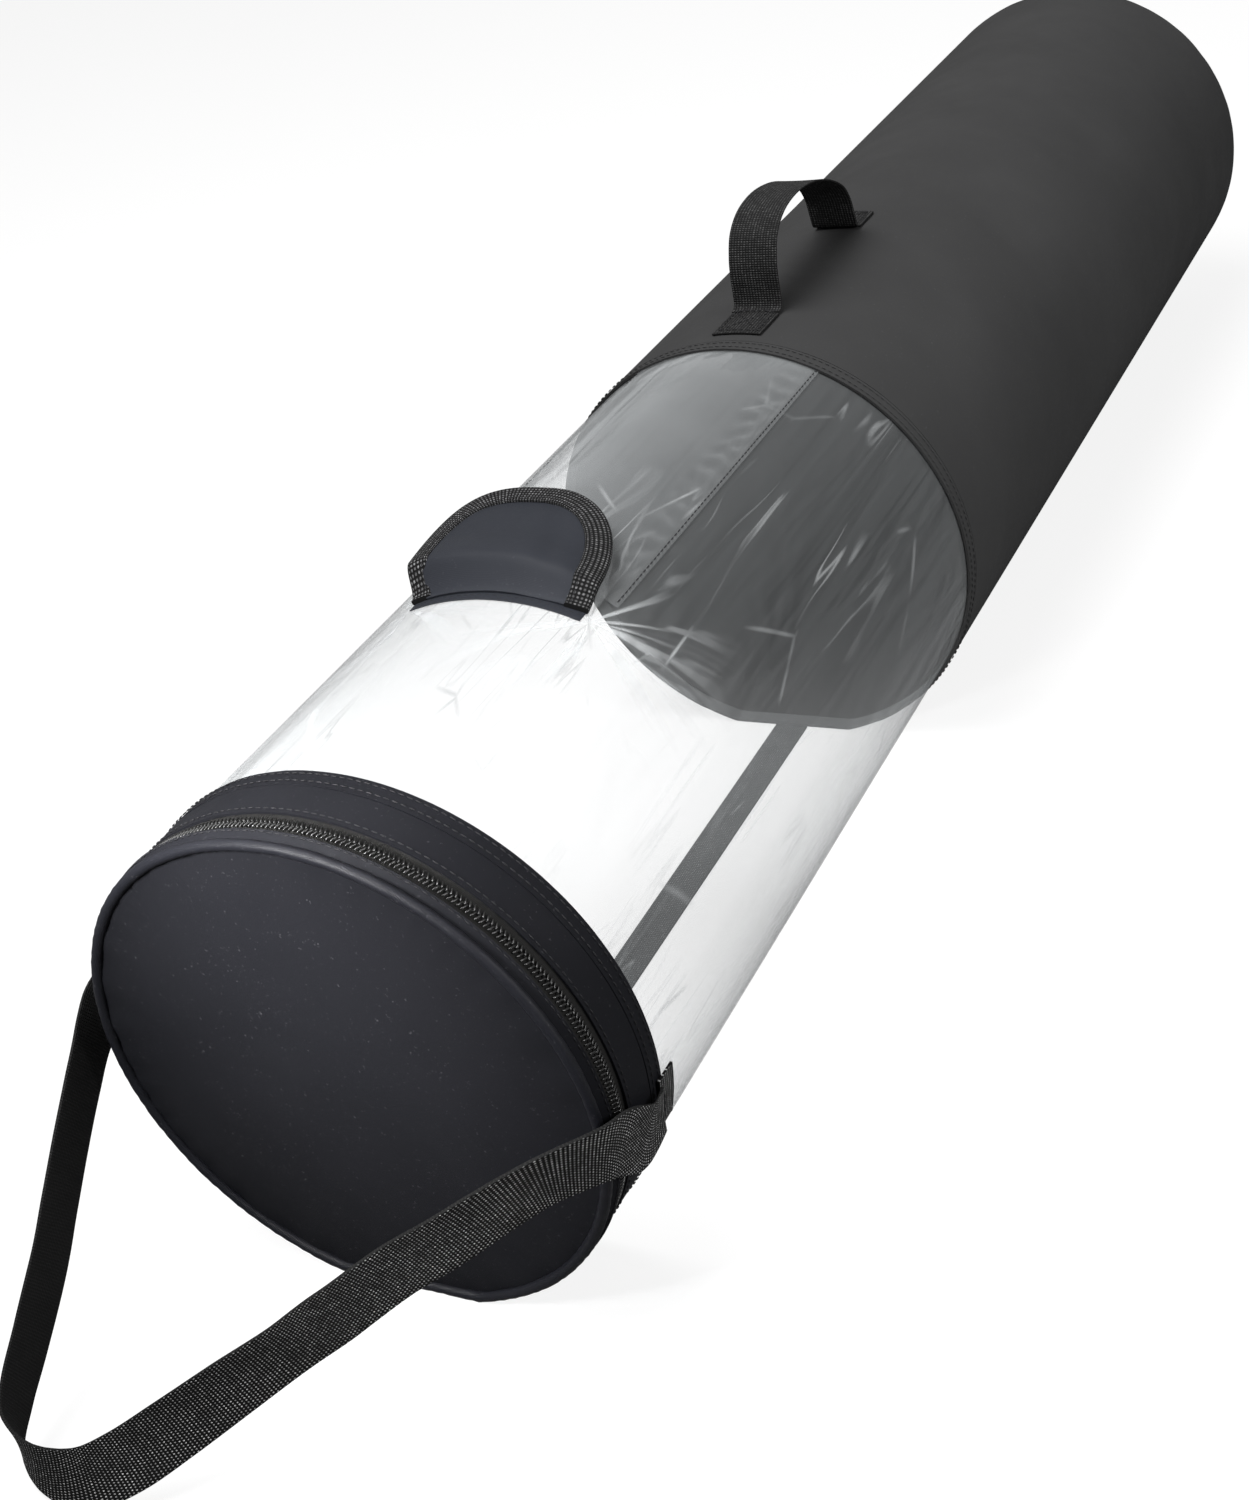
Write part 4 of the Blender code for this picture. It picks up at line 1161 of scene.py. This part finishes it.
def make_binding():
    """The woven binding: a narrow ribbon round the edge, with rounded sides that close round the leaf."""
    rough = [Vector(((angle - pi) * bag_radius, y, 0)) for angle, y in (binding_line(i / 480) for i in range(481))]
    edge = even_out(rough, binding_steps)
    line = [(pi + point.x / bag_radius, point.y) for point in edge]

    def rule(u, v):
        index = min(binding_steps - 1, int(v * binding_steps))
        share = v * binding_steps - index
        angle, y = [a * (1 - share) + b * share for a, b in zip(line[index], line[index + 1])]
        before, after = line[max(0, index - 1)], line[min(binding_steps, index + 2)]
        run = Vector(((after[0] - before[0]) * bag_radius, after[1] - before[1], 0)).normalized()
        outward = Vector((-run.y, run.x, 0))
        if outward.dot(Vector(((angle - pi) * bag_radius, y - 0.2, 0))) < 0:
            outward = -outward
        wide = binding_width / 2 * max(-1.0, min(1.0, 1.12 * cos(2 * pi * u)))
        high = 0.00135 * max(-1.0, min(1.0, 1.5 * sin(2 * pi * u)))
        angle += outward.x * wide / bag_radius
        y += outward.y * wide
        return skin(angle, y, flap_depth(angle, max(y, flap_hinge_y)) - 0.0014 - high)

    obj = make_sheet("flap_binding_ribbon", 20, 160, 0.0240, line_length(edge), rule)
    clear_doubles(obj)
    fill_holes(obj)
    clear_doubles(obj)
    smooth(obj)
    return finish_piece(obj, edge_binding, "flap", "binding", "flap_binding")


flap_edge = make_binding()

# %% Root strip and fastener patches


def make_patch(name, middle_y, wide, long, wall, depth_of, across, along, *finish):
    """A small flat patch, laid on the bag's round."""

    def rule(u, v):
        angle = pi + (u - 0.5) * wide / bag_radius
        y = middle_y + (v - 0.5) * long
        return skin(angle, y, depth_of(angle, y))

    obj = make_sheet(name, across, along, wide, long, rule)
    turn_faces(obj, upwards)
    give_wall(obj, wall, 1.0)
    soften_edges(obj, wall * 0.35, 30)
    smooth(obj)
    return finish_piece(obj, *finish)


def fastener_depth(below):
    """A rule for the depth of a fastener patch, so far below the pocket film's outer face or above it."""

    def depth(angle, y):
        across = (angle - pi) / pocket_half_angle
        return film_depth - pocket_height(y) * cos(across * pi / 2) - 0.0010 - film_wall - below

    return depth


flap_root = make_patch(
    "flap_root_strip", 0.18055, 0.0860, 0.0065, 0.0005, lambda angle, y: film_depth, 30, 6,
    flap_satin, "bag", "satin_lid", "flap_root")
pile_patch = make_patch(
    "pile_on_pocket", 0.2230, 0.0280, 0.0120, 0.0008, fastener_depth(0.0006), 16, 8,
    fastener_pile, "bag", "hook_loop", "pocket_loop_patch")
hook_patch = make_patch(
    "hooks_on_flap", 0.2230, 0.0280, 0.0120, 0.0008, fastener_depth(0.0017), 16, 8,
    fastener_pile, "flap", "hook_loop", "flap_hook_patch")

# %% [markdown]
# ## The body
#
# The body is charcoal cloth over a card stiffener, which keeps it straight. At its far end it is gathered a
# little unevenly into the base, and its front edge is folded double over the film.

# %% The body's cloth
body_run = 0.4368, 1.0370


def body_rule(angle, y):
    """The body's front rim on the bag's round, and its far rim gathered in low facets, dents and wrinkles."""
    if y < sum(body_run) / 2:
        return skin(angle, y, 0.0)
    drift = 0.25 * round_ripple(angle, y * 0.3, 0.16)
    facets = 0.0001867 * (0.5 + 0.5 * sin((angle + drift) * 11)) ** 2
    dents = 0.0001867 * max(0.0, round_ripple(angle, y * 0.45, 0.075))
    wrinkles = 0.0001213 * abs(round_ripple(angle, y * 0.5, 0.022, fine=2.2))
    return skin(angle, y, facets + dents + wrinkles)


body_cloth = make_tube("body_cloth", body_run, 192, body_rule, 0.0013)
finish_piece(body_cloth, charcoal_cloth, "bag", "satin_body", "body_tube")
body_fold = make_hem("body_fold", (0.4270, 0.4365), 1.3, charcoal_cloth, "satin_body", "body_hem")

# %% [markdown]
# The base closes the tube: a round of the same cloth, crowned like the lid's face, and a rolled seam round
# it. It is made as the lid was, from an inset circle and a torus.

# %% The base and its seam
base_radius = 0.1122


def base_back(x, z):
    """How far along the bag the far end lies at a place on it."""
    away = min(1.0, hypot(x, z) / base_radius)
    turn = round_angle(x, z)
    pucker = 0.0006 * sin(turn * 37 + 2 * sin(turn * 3)) * max(0.0, away - 0.75) / 0.25
    slack = 0.0012 * ripple(x, 1.7, z, 0.055) * (1 - away ** 4)
    return 1.0388 + 0.0026 * (1 - away ** 2.2) + pucker + slack


def base_roll_rule(x, y, z):
    """The rolled seam, a little uneven, kept on the bag's section."""
    return skin(round_angle(x, z), y, max(0.0, bag_radius - hypot(x, z) + 0.0003 * ripple(x, y, z, 0.012)))


base_cloth = make_round("base_cloth", 120, base_radius, [0.0030] * 9 + [0.0068] * 11, 0.0025, base_back, 1)
finish_piece(base_cloth, charcoal_cloth, "bag", "satin_body", "base_panel")
base_roll = make_roll("base_roll", 1.0392, 0.0020, 0.0018, 260, 10, 0.0113, base_roll_rule)
finish_piece(base_roll, charcoal_cloth, "bag", "satin_body", "base_seam")

# %% [markdown]
# ## The grab handle
#
# The handle is one length of ribbed webbing, sewn flat at both ends. Its free middle stands up in a lopsided
# arch: the front leg is steep, the rear leg slants.

# %% The handle's loop
webbing_wall = 0.0015
handle_width = 0.0270


def make_webbing_piece(name, line, widths, wide, rows, crown, inner=None):
    """Webbing along a line of points, with an edge-to-edge direction and half width at each of them.

    Its edges are rounded, and its inner side has another finish if one is given.
    """
    last = len(line) - 1

    def rule(u, v):
        index = min(last - 1, int(v * last))
        share = v * last - index
        width = widths[index].lerp(widths[index + 1], share)
        normal = (line[index + 1] - line[index]).normalized().cross(width).normalized()
        across = u * 2 - 1
        return line[index].lerp(line[index + 1], share) + width * across + normal * (crown * (1 - across * across))

    obj = make_sheet(name, 12, rows, wide, line_length(line), rule)
    if inner is not None:
        obj.data.materials.append(None)
        obj.data.materials.append(inner)
    give_wall(obj, webbing_wall, 0.0, 0 if inner is None else 1)
    soften_edges(obj, webbing_wall * 0.3, 50)
    smooth(obj)
    return obj


# how far along the arch's span and up its height its middle line runs
arch_shares = [
    (-0.046, 0.0096), (-0.030, 0.0105), (-0.011, 0.032), (-0.001, 0.095), (0.003, 0.20), (0.007, 0.38), (0.025, 0.57),
    (0.08, 0.8), (0.2, 0.955), (0.38, 1.0), (0.58, 0.935), (0.76, 0.79), (0.9, 0.6), (0.965, 0.40), (0.990, 0.20),
    (1.001, 0.095), (1.011, 0.032), (1.030, 0.0105), (1.046, 0.0096),
]
arch_steps = 130
arch = [bag_point(0, 0.4751 + 0.1108 * along, bag_radius + 0.0006 + 0.0469 * up) for along, up in arch_shares]
arch_line = even_out(smooth_route(arch, curve_steps), arch_steps)
arch_widths = [Vector((handle_width / 2, 0, 0))] * len(arch_line)
handle_loop = make_webbing_piece("handle_webbing_loop", arch_line, arch_widths, handle_width, arch_steps, 0.0003)
finish_piece(handle_loop, handle_webbing, None, "handle_webbing", "handle_loop")
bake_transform(handle_loop)

for name, middle_y, long, rows, node in (
    ("handle_front_end", 0.4569, 0.0262, 16, "handle_tab_front"),
    ("handle_rear_end", 0.6015, 0.0209, 12, "handle_tab_rear"),
):
    make_patch(name, middle_y, handle_width, long, webbing_wall, lambda angle, y: -0.0003, 14, rows,
               handle_webbing, "bag", "handle_webbing", node)

# %% [markdown]
# ## The carry strap
#
# The strap is laid along its route as one sheet of webbing. It stands on its edge, so at each point the way
# across it is as upright as its run allows. Then it is parted in two, because two joints need it. Then its
# first length is parted off as a piece of its own, and the rest goes with the strap's body.

# %% The strap and its sewn ends
strap_width = 0.026
strap_rows = 252
end_long = 0.0120
end_rise_right, end_rise_left = -0.0234, 0.0080


def strap_widths(line):
    """The direction across the strap at each point of its line."""
    widths = []
    for index in range(len(line)):
        run = (line[min(index + 1, len(line) - 1)] - line[max(index - 1, 0)]).normalized()
        upright = (Vector((0, 0, 1)) - run * run.z).normalized()
        tilt = strap_tilts[index].x
        widths.append((upright * cos(tilt) + run.cross(upright) * sin(tilt)) * (strap_width / 2))
    return widths


def part_off(obj, length, name):
    """Take the first length of a webbing piece off as an object of its own, by its map."""
    edit(obj)
    bm = bmesh.from_edit_mesh(obj.data)
    cut = bm.loops.layers.uv.active
    pick(obj, lambda face: sum(loop[cut].uv.y for loop in face.loops) < length * len(face.loops), faces=True)
    bpy.ops.mesh.separate(type="SELECTED")
    bpy.ops.object.mode_set(mode="OBJECT")
    taken = next(other for other in bpy.context.selected_objects if other is not obj)
    taken.name = name
    return taken


parting = 50
parting_length = strap_length * parting / strap_steps
carry_strap = make_webbing_piece(
    "carry_webbing", strap_line, strap_widths(strap_line), strap_width, strap_rows, 0.0008, strap_back)
strap_start = part_off(carry_strap, parting_length, "carry_webbing_start")
finish_piece(carry_strap, strap_webbing, "strap", "strap_webbing", "carry_strap")
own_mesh(carry_strap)
finish_piece(strap_start, strap_webbing, None, "strap_webbing", "carry_strap")
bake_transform(strap_start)
print("strap lengths:", round(parting_length, 4), round(strap_length - parting_length, 4))


def end_angle(side, rise):
    """The angle of a sewn end at one side of the bag, so far above its middle height."""
    return side * (pi / 2 + float(np.arcsin(rise / bag_radius)))


def make_strap_end(name, side, rise, node):
    """The strap's end, sewn flat on the side of the collar."""

    def rule(u, v):
        angle = end_angle(side, rise) + (u - 0.5) * strap_width / bag_radius
        return skin(angle, 0.0419 + end_long * v, 0.0) + outwards(angle) * 0.0007

    obj = make_sheet(name, 14, 8, strap_width, end_long, rule)
    out = sum(polygon.normal.x for polygon in obj.data.polygons) * side
    give_wall(obj, 0.0016, 1.0 if out > 0 else -1.0)
    smooth(obj)
    return finish_piece(obj, strap_webbing, "bag", "strap_webbing", node)


make_strap_end("strap_sewn_right", 1, end_rise_right, "strap_end_right")
make_strap_end("strap_sewn_left", -1, end_rise_left, "strap_end_left")

# %% [markdown]
# ## Sewing
#
# Thread shows wherever two layers meet: two rows along each doubled edge, one beside the zip, one round the
# flap's binding, crosses on the handle's ends, and a row down each side of the pocket. One stitch is a
# stretched bead that is sunk a little into the cloth. It is copied along each row at its real pitch.

# %% Stitches
stitch_pitch = 0.0036
round_steps = 180


def row_places(points, ups):
    """Places along a row of points at an even pitch, each with its run and the way up from the cloth."""
    places = []
    carried = stitch_pitch / 2
    for index in range(len(points) - 1):
        here, after = points[index], points[index + 1]
        length = (after - here).length
        while carried < length:
            share = carried / length
            places.append(frame_at(here.lerp(after, share), after - here, ups[index].lerp(ups[index + 1], share)))
            carried += stitch_pitch
        carried -= length
    return places


def round_row(y, degrees, rise):
    """A row of stitches round the bag, with a gap of so many degrees on both sides of straight down."""
    start, end = radians(degrees), radians(360 - degrees)
    angles = [start + (end - start) * step / round_steps for step in range(round_steps + 1)]
    points = [skin(angle, y, 0.0) + outwards(angle) * rise for angle in angles]
    return row_places(points, [outwards(angle) for angle in angles])


def sew(name, rows, thread, body, slot, long=0.0026, thick=0.00055):
    """One piece of thread work from its rows of places. A stitch is a ball that is stretched along its row."""
    deselect()
    bpy.ops.mesh.primitive_uv_sphere_add(segments=6, ring_count=5, radius=0.5, rotation=(pi / 2, 0, 0))
    model = added("stitch_model", (thick, thick, long))
    obj = copy_to(name, model, [place for row in rows for place in row])
    return finish_piece(obj, thread, body, slot)


collar_rows = [round_row(0.0400, 22, 0.00035), round_row(0.0447, 22, 0.00035), round_row(0.0228, 24, -0.0003)]
sew("collar_thread", collar_rows, dark_thread, "bag", "satin_lid")
sew("lid_thread", [round_row(0.0080, 24, 0.00005)], dark_thread, "lid", "satin_lid")
sew("body_thread", [round_row(y, 22, 0.00035) for y in (0.4294, 0.4341)], grey_thread, "bag", "satin_body")

# %% Stitches on the pocket, flap, handle and strap ends
row_fineness = 0.002
box_half_width = 0.0108
end_row_half = 0.0115
pocket_side = pocket_half_angle * 0.972


def laid_row(pairs, depth_of):
    """A row through (angle, y) pairs on the bag's round."""
    fine = []
    for (a0, y0), (a1, y1) in zip(pairs, pairs[1:]):
        steps = max(1, ceil(hypot((a1 - a0) * bag_radius, y1 - y0) / row_fineness))
        fine += [(a0 + (a1 - a0) * s / steps, y0 + (y1 - y0) * s / steps) for s in range(steps)]
    fine.append(pairs[-1])
    points = [skin(angle, y, 0.0) - outwards(angle) * depth_of(angle, y) for angle, y in fine]
    return row_places(points, [outwards(angle) for angle, y in fine])


def flap_top(angle, y):
    """Depth of the binding's upper face."""
    return flap_depth(angle, max(y, flap_hinge_y)) - 0.0028


def box_rows(start_y, end_y):
    """A sewn box with a cross, as on every webbing end."""
    low, high = pi - box_half_width / bag_radius, pi + box_half_width / bag_radius
    corners = [(low, start_y), (high, start_y), (high, end_y), (low, end_y), (low, start_y)]
    crosses = [[(low, start_y), (high, end_y)], [(high, start_y), (low, end_y)]]
    return [laid_row(run, lambda angle, y: -0.0019) for run in [corners, *crosses]]


def end_rows(side, rise):
    """Two rows across each sewn end of the strap."""
    middle, half = end_angle(side, rise), end_row_half / bag_radius
    return [laid_row([(middle - half, y), (middle + half, y)], lambda a, y: -0.0024) for y in (0.0440, 0.0515)]


side_rows = [
    laid_row([(angle, 0.197), (angle, 0.4262)], lambda a, y: film_depth - 0.0011)
    for angle in (pi - pocket_side, pi + pocket_side)]
sew("pocket_thread", side_rows, dark_thread, "bag", "binding", 0.0027, 0.0007)
flap_line = [
    (pi + (angle - pi) * 0.925, flap_hinge_y + (y - flap_hinge_y) * 0.935)
    for angle, y in (binding_line(step / 60) for step in range(61))]
sew("flap_thread", [laid_row(flap_line, flap_top)], dark_thread, "flap", "binding")
root_rows = [laid_row([(pi - 0.371, y), (pi + 0.371, y)], lambda a, y: 0.0012) for y in (0.1782, 0.1810)]
sew("root_thread", root_rows, dark_thread, "bag", "satin_lid")
sew("handle_thread", box_rows(0.4465, 0.4705) + box_rows(0.5905, 0.6090), dark_thread, "bag", "handle_webbing")
sew("strap_end_thread", end_rows(1, end_rise_right) + end_rows(-1, end_rise_left), dark_thread, "bag",
    "strap_webbing")

# %% [markdown]
# ## All the pieces are made

print("declared sheets:", 7)

# %% [markdown]
# ## Floor, backdrop and light
#
# The photograph stands on plain white. The floor is white cloth-like paper that takes the bag's shadow, and
# the world is white wherever the camera, a reflection or the film looks at it. Three soft lamps shape the
# cloth: a wide one from the upper left, a near one over the lid, whose light falls off down the lid's face,
# and a weak one from the right, which draws the line on the piping.

# %% Floor, world and lamps


def looked_at(tree):
    """1 for light that goes to the camera or through film, and the light path's outputs."""
    path = add_node(tree, "LightPath", {})
    return calc(tree, "MAXIMUM", path["Is Camera Ray"], path["Is Transmission Ray"]), path


def make_floor():
    """A pale floor that stays near white and keeps the shadow."""
    deselect()
    bpy.ops.mesh.primitive_plane_add(size=14, location=(0, 0, -0.0004))
    obj = added("floor")
    material, tree, place, cut = new_finish("floor_paper", 0.9, 0.1)
    glow = times(tree, looked_at(tree)[0], 0.84)
    dress(material, {
        "Base Color": (0.18, 0.18, 0.18, 1), "Emission Color": (1, 1, 1, 1), "Emission Strength": glow})
    obj.data.materials.append(material)


def make_world():
    """White for what looks at it, and a plain soft light for the rest."""
    world = bpy.data.worlds.new("plain_studio")
    world.use_nodes = True
    tree = world.node_tree
    seen, path = looked_at(tree)
    seen = calc(tree, "MAXIMUM", seen, times(tree, path["Is Glossy Ray"], 0.30))
    feed(tree, tree.nodes["Background"], {"Color": (1, 1, 1, 1), "Strength": spread(tree, seen, 0.0, 1.0, 0.15, 1.0)})
    bpy.context.scene.world = world


def add_lamp(name, place, target, size, power, beam=180):
    """A soft square lamp that points at a target, with a beam that can be narrowed."""
    data = bpy.data.lights.new(name, "AREA")
    data.shape = "SQUARE"
    data.size = size
    data.energy = power
    data.spread = radians(beam)
    lamp = bpy.data.objects.new(name, data)
    bpy.context.scene.collection.objects.link(lamp)
    lamp.location = place
    lamp.rotation_euler = (Vector(target) - Vector(place)).to_track_quat("-Z", "Y").to_euler()
    return lamp


make_floor()
make_world()
add_lamp("upper_left", (-0.45, -0.55, 2.4), (0, 0, 0.1), 1.5, 73)
add_lamp("over_lid", (-0.06, -0.75, 0.40), (-0.01, -0.53, 0.20), 0.14, 0.55, 46).visible_camera = False
add_lamp("right_side", (1.6, -0.4, 0.9), (0, -0.1, 0.1), 0.5, 16)
